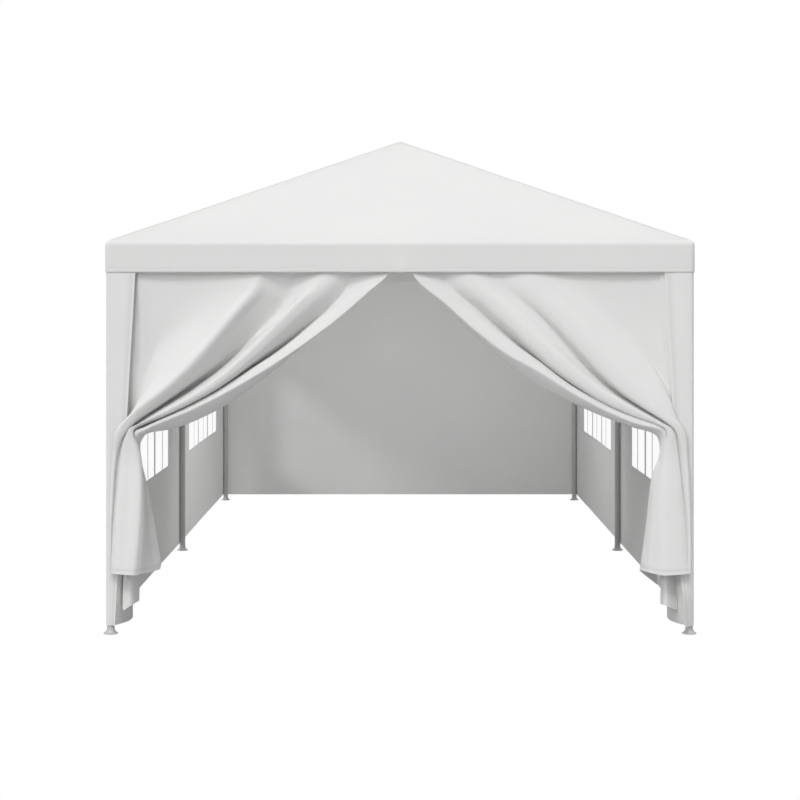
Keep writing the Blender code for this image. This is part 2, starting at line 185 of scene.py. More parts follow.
key_sun = add_sun("key_sun", SUN_SIDE, SUN_HEIGHT, SUN_STRENGTH, SUN_SOFTNESS)
front_sun = add_sun("front_sun", FRONT_SIDE, FRONT_HEIGHT, FRONT_STRENGTH, FRONT_SOFTNESS)
fill_data = bpy.data.lights.new("roof_fill", "AREA")
fill_data.shape = "RECTANGLE"
fill_data.size, fill_data.size_y = FILL_SIZE
fill_data.energy = FILL_POWER
fill = bpy.data.objects.new("roof_fill", fill_data)
fill.location = FILL_PLACE
fill.rotation_euler = (radians(FILL_TILT), 0.0, 0.0)
fill.visible_camera = False
scene.collection.objects.link(fill)
print("lights:", key_sun.name, front_sun.name, fill.name)

# %% [markdown]
# ## Powder-coated steel
# The frame is thin steel tube, sprayed with polyester powder and baked. The coat is a plastic skin,
# so it isn't metallic: it is a soft pale grey gloss with a faint orange peel about 2 mm across.
# Handling leaves it slightly greyer in broad patches.


# %% Make the steel finish
def new_material(name):
    """A new material, its node tree and its Principled shader."""
    material = bpy.data.materials.new(name)
    material.use_nodes = True
    shader = material.node_tree.nodes["Principled BSDF"]
    return material, material.node_tree, shader


ORANGE_PEEL = 0.002

steel, tree, shader = new_material("powder_coated_steel")
shader.inputs["Roughness"].default_value = 0.36
shader.inputs["IOR"].default_value = 1.52
place = add_node(tree, "ShaderNodeTexCoord")
patches = add_node(tree, "ShaderNodeTexNoise", values={"Scale": 6.0, "Detail": 3.0},
                   links={"Vector": place.outputs["Object"]})
tint = add_node(tree, "ShaderNodeMix", data_type="RGBA", links={"Factor": patches.outputs["Fac"]})
tint.inputs[6].default_value = linear("A9AAA9")
tint.inputs[7].default_value = linear("B8B9B7")
tree.links.new(tint.outputs[2], shader.inputs["Base Color"])
peel = add_node(tree, "ShaderNodeTexNoise", values={"Scale": 1 / ORANGE_PEEL, "Detail": 1.0},
                links={"Vector": place.outputs["Object"]})
bump = add_node(tree, "ShaderNodeBump", values={"Strength": 0.15, "Distance": 0.0002},
                links={"Height": peel.outputs["Fac"]})
tree.links.new(bump.outputs["Normal"], shader.inputs["Normal"])
print("steel:", len(tree.nodes), "nodes")

# %% [markdown]
# ## Coated polyethylene cloth
# The cover and the walls are woven polyethylene with a white waterproof coat. The threads are about
# a millimetre apart, too fine to see from 9 m, so the weave is drawn 3 mm wide. It follows the
# cloth's own UV map, which is in metres, and so it turns with each fold. The coat gives a dull
# sheen, and some light comes through. Stitches are kept as a vertex attribute: 0 off the seam, and
# more where the thread darkens the cloth. At a scale of 1, Blender's wave texture repeats every
# 0.314 m, so that is divided by the real spacing.


# %% Make the cloth finishes
WAVE_PERIOD = 0.314
THREAD_WIDTH = 0.003
STITCH_SHADE = "C6C7C6"


def woven_cloth(name, light, dark, thread, roughness, weave_depth, light_through):
    """Coated plain weave on the UV map, with broad soft unevenness and darker stitched seams."""
    material, tree, shader = new_material(name)
    shader.inputs["Roughness"].default_value = roughness
    shader.inputs["IOR"].default_value = 1.45
    shader.inputs["Sheen Weight"].default_value = 0.08
    shader.inputs["Sheen Roughness"].default_value = 0.4
    uv = add_node(tree, "ShaderNodeUVMap", uv_map="UVMap")
    place = add_node(tree, "ShaderNodeTexCoord")
    clouds = add_node(tree, "ShaderNodeTexNoise", values={"Scale": 2.2, "Detail": 4.0, "Roughness": 0.6},
                      links={"Vector": place.outputs["Object"]})
    tint = add_node(tree, "ShaderNodeMix", data_type="RGBA", links={"Factor": clouds.outputs["Fac"]})
    tint.inputs[6].default_value = linear(dark)
    tint.inputs[7].default_value = linear(light)
    seam = add_node(tree, "ShaderNodeAttribute", attribute_name="seam")
    stitched = add_node(tree, "ShaderNodeMix", data_type="RGBA", links={"Factor": seam.outputs["Fac"]})
    tree.links.new(tint.outputs[2], stitched.inputs[6])
    stitched.inputs[7].default_value = linear(STITCH_SHADE)
    tree.links.new(stitched.outputs[2], shader.inputs["Base Color"])
    warp = add_node(tree, "ShaderNodeTexWave", wave_type="BANDS", bands_direction="X",
                    values={"Scale": WAVE_PERIOD / thread, "Distortion": 0.6, "Detail": 1.0},
                    links={"Vector": uv.outputs["UV"]})
    weft = add_node(tree, "ShaderNodeTexWave", wave_type="BANDS", bands_direction="Y",
                    values={"Scale": WAVE_PERIOD / thread, "Distortion": 0.6, "Detail": 1.0},
                    links={"Vector": uv.outputs["UV"]})
    weave = add_node(tree, "ShaderNodeMath", operation="ADD")
    tree.links.new(warp.outputs["Fac"], weave.inputs[0])
    tree.links.new(weft.outputs["Fac"], weave.inputs[1])
    crumple = add_node(tree, "ShaderNodeTexNoise", values={"Scale": 11.0, "Detail": 3.0},
                       links={"Vector": place.outputs["Object"]})
    fine = add_node(tree, "ShaderNodeBump", values={"Strength": 0.35, "Distance": weave_depth},
                    links={"Height": weave.outputs[0]})
    broad = add_node(tree, "ShaderNodeBump", values={"Strength": 0.12, "Distance": 0.004},
                     links={"Height": crumple.outputs["Fac"], "Normal": fine.outputs["Normal"]})
    tree.links.new(broad.outputs["Normal"], shader.inputs["Normal"])
    glow = add_node(tree, "ShaderNodeBsdfTranslucent",
                    links={"Color": stitched.outputs[2], "Normal": broad.outputs["Normal"]})
    both = add_node(tree, "ShaderNodeMixShader", values={0: light_through},
                    links={1: shader.outputs["BSDF"], 2: glow.outputs["BSDF"]})
    tree.links.new(both.outputs["Shader"], tree.nodes["Material Output"].inputs["Surface"])
    return material


cover_cloth = woven_cloth("coated_polyethylene_cover", "F4F4F3", "EFF0EF", thread=THREAD_WIDTH,
                          roughness=0.62, weave_depth=0.00015, light_through=0.38)
wall_cloth = woven_cloth("coated_polyethylene_wall", "EFEFEE", "E9EAE9", thread=THREAD_WIDTH,
                         roughness=0.68, weave_depth=0.0002, light_through=0.28)
print("cloth finishes:", cover_cloth.name, wall_cloth.name)

# %% [markdown]
# ## Clear vinyl film
# The windows are 0.5 mm clear vinyl, calendered smooth. Nearly all light passes straight through, so
# the shader is mostly see-through, and what is left of it is a gloss with the slight waviness of a
# rolled sheet.

# %% Make the film finish
film, tree, shader = new_material("clear_vinyl_film")
shader.inputs["Base Color"].default_value = linear("F4F7F8")
shader.inputs["Roughness"].default_value = 0.08
shader.inputs["IOR"].default_value = 1.53
shader.inputs["Alpha"].default_value = 0.03
place = add_node(tree, "ShaderNodeTexCoord")
waves = add_node(tree, "ShaderNodeTexNoise", values={"Scale": 7.0, "Detail": 2.0},
                 links={"Vector": place.outputs["Object"]})
bump = add_node(tree, "ShaderNodeBump", values={"Strength": 0.25, "Distance": 0.004},
                links={"Height": waves.outputs["Fac"]})
tree.links.new(bump.outputs["Normal"], shader.inputs["Normal"])

# %% [markdown]
# ## Woven webbing
# The curtain ties are flat polypropylene webbing, 25 mm wide. Its ribs run across the strap about
# 2 mm apart, and they are coarse enough to draw at their real size.

# %% Make the webbing finish
WEBBING_RIB = 0.002

webbing, tree, shader = new_material("polypropylene_webbing")
shader.inputs["Roughness"].default_value = 0.75
shader.inputs["Sheen Weight"].default_value = 0.15
uv = add_node(tree, "ShaderNodeUVMap", uv_map="UVMap")
ribs = add_node(tree, "ShaderNodeTexWave", wave_type="BANDS", bands_direction="X",
                values={"Scale": WAVE_PERIOD / WEBBING_RIB, "Distortion": 0.8, "Detail": 1.0},
                links={"Vector": uv.outputs["UV"]})
tint = add_node(tree, "ShaderNodeMix", data_type="RGBA", links={"Factor": ribs.outputs["Fac"]})
tint.inputs[6].default_value = linear("D2D3D1")
tint.inputs[7].default_value = linear("EAEAE8")
tree.links.new(tint.outputs[2], shader.inputs["Base Color"])
bump = add_node(tree, "ShaderNodeBump", values={"Strength": 0.6, "Distance": 0.0004},
                links={"Height": ribs.outputs["Fac"]})
tree.links.new(bump.outputs["Normal"], shader.inputs["Normal"])

# %% [markdown]
# ## Steel frame
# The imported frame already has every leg, joint, beam and rafter in its place. Its mesh is loose
# triangles with hard facets, so each node is copied, its doubles are merged, its open tube ends and
# sleeve rims are bevelled as a cut and coated edge is, and it is shaded smooth.


# %% Dress the steel nodes
def select_only(obj):
    """Make this the only selected and active object."""
    bpy.ops.object.select_all(action="DESELECT")
    obj.select_set(True)
    bpy.context.view_layer.objects.active = obj


def finish_piece(obj, material):
    """Give a finished piece its material and its place on the tent."""
    obj.data.materials.clear()
    obj.data.materials.append(material)
    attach(obj, "root")


RIM_BEVEL = 0.0006
SAME_POINT = 0.00002
STEEL_WORDS = ("leg_", "corner_joint", "eave_joint", "ridge_joint", "eave_beam", "rafter", "ridge_pole")

steel_pieces = []
for name, node in sorted(nodes.items()):
    if not any(word in name for word in STEEL_WORDS):
        continue
    piece = bpy.data.objects.new(name + "_coated", node.data.copy())
    scene.collection.objects.link(piece)
    select_only(piece)
    bpy.ops.object.mode_set(mode="EDIT")
    bpy.ops.mesh.select_all(action="SELECT")
    bpy.ops.mesh.remove_doubles(threshold=SAME_POINT)
    bpy.ops.mesh.dissolve_limited(angle_limit=radians(1.0))
    bpy.ops.object.mode_set(mode="OBJECT")
    rim = piece.modifiers.new("Rim", "BEVEL")
    rim.limit_method = "ANGLE"
    rim.angle_limit = radians(50)
    rim.width = RIM_BEVEL
    rim.segments = 2
    rim.use_clamp_overlap = True
    bpy.ops.object.modifier_apply(modifier=rim.name)
    bpy.ops.object.shade_smooth_by_angle(angle=radians(40))
    finish_piece(piece, steel)
    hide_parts(name)
    steel_pieces.append(piece)
print("steel pieces:", len(steel_pieces))

# %% [markdown]
# ## Zinc-plated steel
# The snap buttons are turned steel with a thin coat of bright zinc, which gives a cool grey shine
# with a light haze. The haze of the plating is drawn as patches 1 mm wide.

# %% Make the zinc finish
HAZE_PATCH = 0.001

zinc, tree, shader = new_material("zinc_plated_steel")
shader.inputs["Metallic"].default_value = 1.0
place = add_node(tree, "ShaderNodeTexCoord")
haze = add_node(tree, "ShaderNodeTexNoise", values={"Scale": 1 / HAZE_PATCH, "Detail": 2.0},
                links={"Vector": place.outputs["Object"]})
rub = add_node(tree, "ShaderNodeMapRange", values={"To Min": 0.26, "To Max": 0.42},
               links={"Value": haze.outputs["Fac"]})
tree.links.new(rub.outputs["Result"], shader.inputs["Roughness"])
tint = add_node(tree, "ShaderNodeMix", data_type="RGBA", links={"Factor": haze.outputs["Fac"]})
tint.inputs[6].default_value = linear("B6B8BA")
tint.inputs[7].default_value = linear("C8C9CA")
tree.links.new(tint.outputs[2], shader.inputs["Base Color"])
print("zinc:", len(tree.nodes), "nodes")

# %% [markdown]
# ## Snap buttons
# The tubes push into the joints and are held by spring buttons: a domed pin, 8 mm across, that
# clicks through a hole in the sleeve. One is modelled from a cylinder, with its head bevelled round
# and a collar pulled out at its foot for the pressed rim of the hole. It is copied to the sleeves,
# on the sides that face into the tent.


# %% Model one snap button
def pick_faces(obj, wanted):
    """Enter edit mode with only the wanted faces selected."""
    bpy.ops.object.mode_set(mode="EDIT")
    bpy.ops.mesh.select_mode(type="FACE")
    bpy.ops.mesh.select_all(action="DESELECT")
    bpy.ops.object.mode_set(mode="OBJECT")
    for face in obj.data.polygons:
        face.select = wanted(face)
    bpy.ops.object.mode_set(mode="EDIT")


PIN_RADIUS = 0.004
PIN_HEIGHT = 0.0036
HEAD_BEVEL = 0.0026
COLLAR_HEIGHT = 0.0007
COLLAR_SPREAD = 1.5

bpy.ops.object.select_all(action="DESELECT")
bpy.ops.mesh.primitive_cylinder_add(vertices=24, radius=PIN_RADIUS, depth=PIN_HEIGHT,
                                    location=(0.0, 0.0, 0.5 * PIN_HEIGHT))
button = bpy.context.active_object
button.name = "snap_button"
bpy.ops.object.transform_apply(location=True, rotation=False, scale=False)
pick_faces(button, lambda face: face.normal.z > 0.9)
bpy.ops.mesh.bevel(offset=HEAD_BEVEL, segments=5, affect="EDGES")
bpy.ops.object.mode_set(mode="OBJECT")
pick_faces(button, lambda face: face.normal.z < -0.9)
bpy.ops.mesh.extrude_region_move(TRANSFORM_OT_translate={"value": (0.0, 0.0, 0.0)})
bpy.ops.transform.resize(value=(COLLAR_SPREAD, COLLAR_SPREAD, 1.0))
bpy.ops.mesh.extrude_region_move(TRANSFORM_OT_translate={"value": (0.0, 0.0, -COLLAR_HEIGHT)})
bpy.ops.mesh.select_all(action="SELECT")
bpy.ops.mesh.normals_make_consistent(inside=False)
bpy.ops.object.mode_set(mode="OBJECT")
bpy.ops.object.shade_smooth_by_angle(angle=radians(35))
print("snap button:", len(button.data.polygons), "faces")

# %% [markdown]
# Each sleeve has its button 20 mm from its rim. Those on the legs face the middle of the tent, and
# those on the beams and on the ridge pole face the floor.

# %% Copy the button to the sleeves
TUBE_RADIUS = 0.019
JOINT_RADIUS = 0.021
BUTTON_SEAT = 0.0204
FROM_RIM = 0.020
DOWN = Vector((0, 0, -1))

places = []
for name in sorted(nodes):
    low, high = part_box(name)
    if "corner_joint" in name or "eave_joint" in name:
        side = 1 if low.x > 0 else -1
        leg_x = max(abs(low.x), abs(high.x)) - JOINT_RADIUS
        rim_x = min(abs(low.x), abs(high.x)) + FROM_RIM
        beam_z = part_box("eave_beam_front")[0].z + TUBE_RADIUS
        if "eave_joint" in name:
            leg_y = 0.0
            rims_y = [low.y + FROM_RIM, high.y - FROM_RIM]
        else:
            end = 1 if low.y > 0 else -1
            leg_y = end * (max(abs(low.y), abs(high.y)) - JOINT_RADIUS)
            rims_y = [end * (min(abs(low.y), abs(high.y)) + FROM_RIM)]
            places.append((Vector((side * rim_x, leg_y, beam_z - BUTTON_SEAT)), DOWN))
        inward = Vector((-side, 0, 0))
        places.append((Vector((side * leg_x, leg_y, low.z + FROM_RIM)) + inward * BUTTON_SEAT, inward))
        for y in rims_y:
            places.append((Vector((side * leg_x, y, beam_z - BUTTON_SEAT)), DOWN))
    if "ridge_joint" in name:
        pole_z = high.z - JOINT_RADIUS
        for y in (low.y + FROM_RIM, high.y - FROM_RIM):
            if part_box("ridge_pole")[0].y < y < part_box("ridge_pole")[1].y:
                places.append((Vector((0, y, pole_z - BUTTON_SEAT)), DOWN))
for number, (spot, toward) in enumerate(places, 1):
    mesh = button.data.copy()
    mesh.transform(Matrix.Translation(spot) @ toward.to_track_quat("Z", "Y").to_matrix().to_4x4())
    copy = bpy.data.objects.new(f"snap_button_{number:02d}", mesh)
    scene.collection.objects.link(copy)
    finish_piece(copy, zinc)
bpy.data.objects.remove(button, do_unlink=True)
print("snap buttons:", len(places))

# %% [markdown]
# ## Cloth laid as rows of points
# Each sheet of the tent is made the same way: rows of points joined by faces, with the cloth's own
# lengths as its UV map and its stitches as an attribute. A subdivided plane could be pushed into
# shape instead, but its weave would stretch wherever the plane does. Solidify then gives the cloth
# its thickness, and its cut edge stays crisp.


# %% Lay cloth as a grid of points
CUT_EDGE = radians(70)
CLOTH = 0.0012


def ways_along(points):
    """Distance of each point along the line that joins them."""
    ways = [0.0]
    for before, after in zip(points, points[1:]):
        ways.append(ways[-1] + (after - before).length)
    return ways


def cloth_from_rows(name, rows, uvs, seams, closed=False, thickness=CLOTH):
    """Sheet from rows of points, with its UV map in metres and its seam attribute."""
    width = len(rows[0])
    mesh = bpy.data.meshes.new(name)
    points = [tuple(p) for row in rows for p in row]
    faces = []
    last = width if closed else width - 1
    for r in range(len(rows) - 1):
        for c in range(last):
            d = (c + 1) % width
            faces.append((r * width + c, r * width + d, (r + 1) * width + d, (r + 1) * width + c))
    mesh.from_pydata(points, [], faces)
    flat_uvs = [uv for row in uvs for uv in row]
    layer = mesh.uv_layers.new(name="UVMap")
    wrap = uvs[0][-1][0] + (uvs[0][-1][0] - uvs[0][-2][0]) if closed else 0.0
    for polygon in mesh.polygons:
        for corner in polygon.loop_indices:
            vertex = mesh.loops[corner].vertex_index
            u, v = flat_uvs[vertex]
            if closed and vertex % width == 0 and polygon.index % last == last - 1:
                u = wrap
            layer.data[corner].uv = (u, v)
    seam = mesh.attributes.new("seam", "FLOAT", "POINT")
    seam.data.foreach_set("value", [s for row in seams for s in row])
    for polygon in mesh.polygons:
        polygon.use_smooth = True
    obj = bpy.data.objects.new(name, mesh)
    scene.collection.objects.link(obj)
    if thickness:
        give_thickness(obj, thickness)
    return obj


def give_thickness(obj, thickness):
    """Make the sheet solid, with a crisp cut edge: one shaded smooth would darken a whole hem."""
    solid = obj.modifiers.new("Cloth thickness", "SOLIDIFY")
    solid.thickness = thickness
    solid.offset = 0.0
    select_only(obj)
    bpy.ops.object.modifier_apply(modifier=solid.name)
    bpy.ops.object.shade_smooth_by_angle(angle=CUT_EDGE)


def smooth_step(value, low, high):
    """0 below low, 1 above high, and a smooth rise between them."""
    part = min(1.0, max(0.0, (value - low) / (high - low)))
    return part * part * (3 - 2 * part)


# %% [markdown]
# ## Roof cover
# The real cover is one loose sewn piece: four slopes, soft where they pass over the tubes, that turn
# down at the eave in a bend of about 3 cm and hang as a 14 cm valance with a stitched hem. Flat
# plates would show hard edges at the hips, so it is laid as rings round the plan, from the ridge
# outwards and down the valance: each ring is a level line of the cloth.

# %% Shape the cover
HALF_WIDTH = 1.5
HALF_LENGTH = 3.0
VALANCE_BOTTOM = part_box("valance")[0].z
COVER_AT_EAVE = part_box("roof_panel_front")[0].z + 0.0028
COVER_AT_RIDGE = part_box("roof_panel_front")[1].z - 0.0005
PITCH = (COVER_AT_RIDGE - COVER_AT_EAVE) / HALF_WIDTH
EAVE_BEND = 0.030
PLAN_CORNER = 0.025
HIP_SOFTNESS = 0.012
SLOPE_SAG = 0.010
FRONT_CREST = 0.007
HEM = 0.020
RIDGE_BEND = 0.004
SLOPE_ROWS = 30
BEND_ROWS = 8
CORNER_STEPS = 6
END_SHARES = [0.006] + [i / 50 for i in range(1, 25)] + [0.494, 0.5, 0.506]
END_SHARES += [i / 50 for i in range(26, 50)] + [0.994]
SIDE_SHARES = [0.003] + [i / 90 for i in range(1, 90)] + [0.997]
FALL_COLUMN = 60


def plan_ring(inset, radius):
    """Points round the plan of the tent, at an inset from the eave and with rounded corners."""
    half_x = HALF_WIDTH - inset
    half_y = HALF_LENGTH - inset
    radius = max(0.0, min(radius, half_x))
    ring = []
    for quarter, (sx, sy) in enumerate(((1, 1), (-1, 1), (-1, -1), (1, -1))):
        centre = (sx * (half_x - radius), sy * (half_y - radius))
        for step in range(CORNER_STEPS + 1):
            angle = radians(90 * quarter + 90 * step / CORNER_STEPS)
            ring.append((centre[0] + radius * cos(angle), centre[1] + radius * sin(angle)))
        after = ((-1, 1), (-1, -1), (1, -1), (1, 1))[quarter]
        start = Vector(ring[-1])
        target = Vector((after[0] * (half_x - radius), after[1] * (half_y - radius)))
        if quarter % 2 == 0:
            target.y = start.y
            shares = END_SHARES
        else:
            target.x = start.x
            shares = SIDE_SHARES
        ring += [tuple(start.lerp(target, share)) for share in shares]
    return ring


def slope_sag(x, y, inset):
    """How far the cloth hangs below the straight slope between the tubes that carry it."""
    up = sin(pi * min(1.0, inset / HALF_WIDTH)) ** 0.8
    if HALF_LENGTH - abs(y) <= HALF_WIDTH - abs(x):
        from_hip = max(0.0, (HALF_WIDTH - inset) - abs(x))
        crest = FRONT_CREST * (1 - min(1.0, abs(x) / (HALF_WIDTH / 2))) * up
        return 0.7 * SLOPE_SAG * up * smooth_step(from_hip, 0.0, 0.5) - crest
    from_hip = max(0.0, (HALF_LENGTH - inset) - abs(y))
    from_middle_rafter = abs(y)
    held = min(smooth_step(from_hip, 0.0, 0.7), smooth_step(from_middle_rafter, 0.02, 0.9))
    return SLOPE_SAG * up * held


def ripple(x, y, z):
    """Slow unevenness of hung cloth, from 0 to 1."""
    return 0.5 + 0.25 * sin(5.3 * x + 2.1 * y + 1.7 * z) + 0.25 * sin(3.1 * y - 4.7 * x + 2.9 * z + 1.3)


bend_angle = pi / 2 - atan2(PITCH, 1.0)
bend_height = COVER_AT_EAVE + PITCH * EAVE_BEND - EAVE_BEND * sqrt(1 + PITCH * PITCH)
levels = []
slope_end = EAVE_BEND - EAVE_BEND * cos(bend_angle)
for i in range(SLOPE_ROWS + 1):
    inset = HALF_WIDTH + (slope_end - HALF_WIDTH) * (i / SLOPE_ROWS)
    rise = PITCH * (HALF_WIDTH - inset)
    z = COVER_AT_RIDGE + RIDGE_BEND - sqrt(rise * rise + RIDGE_BEND ** 2)
    z -= RIDGE_BEND * smooth_step(rise, 0.0, 0.05)
    levels.append((inset, z, "slope"))
for i in range(1, BEND_ROWS + 1):
    angle = bend_angle * (1 - i / BEND_ROWS)
    levels.append((EAVE_BEND - EAVE_BEND * cos(angle), bend_height + EAVE_BEND * sin(angle), "bend"))
drop = bend_height - VALANCE_BOTTOM
for share in (0.15, 0.3, 0.45, 0.6, 0.75):
    levels.append((0.0, bend_height - share * (drop - HEM), "valance"))
hem_top = VALANCE_BOTTOM + HEM
levels += [(0.0, hem_top + 0.004, "valance"), (0.0003, hem_top + 0.0012, "stitch"),
           (0.0003, hem_top - 0.0012, "stitch"), (-0.0003, hem_top - 0.004, "hem"),
           (-0.0003, VALANCE_BOTTOM + 0.003, "hem"), (0.0004, VALANCE_BOTTOM + 0.0004, "hem"),
           (0.0024, VALANCE_BOTTOM + 0.003, "hem"), (0.0026, hem_top - 0.002, "hem")]

rows = []
uvs = []
seams = []
fall = 0.0
for inset, z, part in levels:
    radius = HIP_SOFTNESS if part == "slope" else max(HIP_SOFTNESS, PLAN_CORNER - 0.7 * inset)
    ring = plan_ring(inset if part in ("hem", "stitch") else max(0.0, inset), radius)
    row = []
    for x, y in ring:
        sag = slope_sag(x, y, inset) if part == "slope" else 0.0
        lift = 0.0015 * (ripple(x, y, z) - 0.5) if part == "slope" else 0.0
        point = Vector((x, y, z - sag + lift))
        if part in ("valance", "stitch", "hem"):
            away = 0.0016 * (ripple(2.0 * x, 2.0 * y, z) - 0.5) * smooth_step(bend_height - z, 0.0, 0.08)
            out_x = x if abs(x) > HALF_WIDTH - 0.03 else 0.0
            out_y = y if abs(y) > HALF_LENGTH - 0.03 else 0.0
            point += Vector((out_x, out_y, 0.0)).normalized() * away
        row.append(point)
    if rows:
        fall += (row[FALL_COLUMN] - rows[-1][FALL_COLUMN]).length
    rows.append(row)
    uvs.append([(way, fall) for way in ways_along([Vector(spot) for spot in ring])])
    seams.append([0.15 if part == "stitch" else 0.0] * len(row))
roof_cover = cloth_from_rows("roof_cover", rows, uvs, seams, closed=True, thickness=0.0)
select_only(roof_cover)
bpy.ops.object.mode_set(mode="EDIT")
bpy.ops.mesh.select_all(action="SELECT")
bpy.ops.mesh.remove_doubles(threshold=0.0003)
bpy.ops.mesh.normals_make_consistent(inside=False)
bpy.ops.object.mode_set(mode="OBJECT")
give_thickness(roof_cover, CLOTH)
finish_piece(roof_cover, cover_cloth)
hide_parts("roof_panel_front", "roof_panel_rear", "roof_panel_left", "roof_panel_right",
            "valance")
print("roof cover:", len(roof_cover.data.polygons), "faces")

# %% [markdown]
# ## Hip and ridge tapes
# The slopes are sewn together along the hips and the ridge, and a tape of the same cloth, 24 mm wide,
# is stitched over each seam to keep the rain out. A tape is a row of points laid out in plan, and each
# point is dropped onto the cover by a ray from above, so the tape bends over the tube as the cover
# does. The tapes lie a hair above one another where they meet.

# %% Lay the tapes
TAPE_WIDTH = 0.024
TAPE_CLOTH = 0.0008
TAPE_LIFT = 0.0005
TAPE_STACK = 0.0003
TAPE_STEPS = 72
TAPE_SHARES = (-1.0, -0.8, -0.4, 0.0, 0.4, 0.8, 1.0)
TAPE_SEAMS = [0.0, 0.3, 0.0, 0.0, 0.0, 0.3, 0.0]
TAPE_INSET = 0.030
ABOVE_ROOF = 3.0
RIDGE_END = 1.5
SIDES = (("left", -1), ("right", 1))
ENDS = (("front", -1), ("rear", 1))


def laid_tape(name, start, finish, lift):
    """Tape along a plan line, dropped onto the cover."""
    along = Vector((finish[0] - start[0], finish[1] - start[1], 0.0))
    aside = Vector((-along.y, along.x, 0.0)).normalized() * 0.5 * TAPE_WIDTH
    rows = []
    uvs = []
    for i in range(TAPE_STEPS + 1):
        centre = Vector((start[0], start[1], ABOVE_ROOF)) + along * i / TAPE_STEPS
        row = []
        for share in TAPE_SHARES:
            spot = roof_cover.ray_cast(centre + aside * share, DOWN)[1]
            row.append(spot + Vector((0.0, 0.0, lift)))
        rows.append(row)
        uvs.append([(share * 0.5 * TAPE_WIDTH, along.length * i / TAPE_STEPS) for share in TAPE_SHARES])
    tape = cloth_from_rows(name, rows, uvs, [TAPE_SEAMS for row in rows], thickness=TAPE_CLOTH)
    finish_piece(tape, cover_cloth)
    return tape


bpy.context.view_layer.update()
for end_name, end in ENDS:
    for side_name, side in SIDES:
        lift = TAPE_LIFT + (TAPE_STACK if side > 0 else 0.0)
        eave = (side * (HALF_WIDTH - TAPE_INSET), end * (HALF_LENGTH - TAPE_INSET))
        laid_tape(f"hip_tape_{end_name}_{side_name}", eave, (0.0, end * RIDGE_END), lift)
laid_tape("ridge_tape", (0.0, -RIDGE_END), (0.0, RIDGE_END), TAPE_LIFT + 2 * TAPE_STACK)

# %% [markdown]
# ## Side walls and windows
# Each bay of a side wall is one sheet that hangs on the outside of the legs, from the eave beam to
# just above the floor, with three arched windows. The sheet is a fine grid that bellies out a few
# millimetres between the legs, and the windows are then cut with a Boolean, which is how the real
# opening is made too: the cloth is sewn up first and cut after.

# %% Shape the side walls
WALL_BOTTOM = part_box("wall_left_front")[0].z
WALL_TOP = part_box("wall_left_front")[1].z
WALL_FACE = 0.5 * (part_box("wall_right_front")[0].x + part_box("wall_right_front")[1].x)
WALL_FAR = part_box("wall_right_rear")[1].y
LEG_ROW = 2.973
BAY_MIDDLE = LEG_ROW / 2
WALL_BELLY = 0.004
WALL_ROWS = 44
WALL_COLUMNS = 64
CUTTER_REACH = (-0.03, 0.05)
WINDOW_PITCH = 0.630
WINDOW_WIDTH = 0.575
WINDOW_SILL = 0.626
WINDOW_SPRING = 1.300
WINDOW_CROWN = 1.450


def wall_belly(y, z):
    """How far a side wall stands out from its plane between the legs."""
    across = sin(pi * min(1.0, abs(y) / LEG_ROW)) ** 2
    down = smooth_step(WALL_TOP - z, 0.16, 0.5) * smooth_step(z - WALL_BOTTOM, -0.15, 0.3)
    return WALL_BELLY * across * down * (0.5 + ripple(0.4, 1.4 * y, 0.9 * z))


def window_outline(centre):
    """Outline of one window in (y, z): sill, jambs and arched head."""
    half = WINDOW_WIDTH / 2
    rise = WINDOW_CROWN - WINDOW_SPRING
    outline = [(centre - half, WINDOW_SILL), (centre + half, WINDOW_SILL)]
    for i in range(17):
        angle = pi * i / 16
        outline.append((centre + half * cos(angle), WINDOW_SPRING + rise * sin(angle)))
    return outline


def prism(name, outline, near, far):
    """Closed tool between two x values, from an outline in (y, z)."""
    mesh = bmesh.new()
    first = [mesh.verts.new((near, y, z)) for y, z in outline]
    second = [mesh.verts.new((far, y, z)) for y, z in outline]
    mesh.faces.new(list(reversed(first)))
    mesh.faces.new(second)
    for i in range(len(outline)):
        j = (i + 1) % len(outline)
        mesh.faces.new((first[i], first[j], second[j], second[i]))
    bmesh.ops.recalc_face_normals(mesh, faces=mesh.faces)
    data = bpy.data.meshes.new(name)
    mesh.to_mesh(data)
    mesh.free()
    tool = bpy.data.objects.new(name, data)
    scene.collection.objects.link(tool)
    return tool


def wall_levels():
    """Heights of the rows of a wall, with its hem line at the foot."""
    levels = [WALL_BOTTOM, WALL_BOTTOM + HEM - 0.0015, WALL_BOTTOM + HEM, WALL_BOTTOM + HEM + 0.0015]
    start = WALL_BOTTOM + 0.045
    levels += [start + (WALL_TOP - start) * i / WALL_ROWS for i in range(WALL_ROWS + 1)]
    return levels


def foot_stitches(z):
    """How dark the stitches are at a height: only the hem line at the foot has some."""
    return 0.25 if abs(z - WALL_BOTTOM - HEM) < 0.001 else 0.0


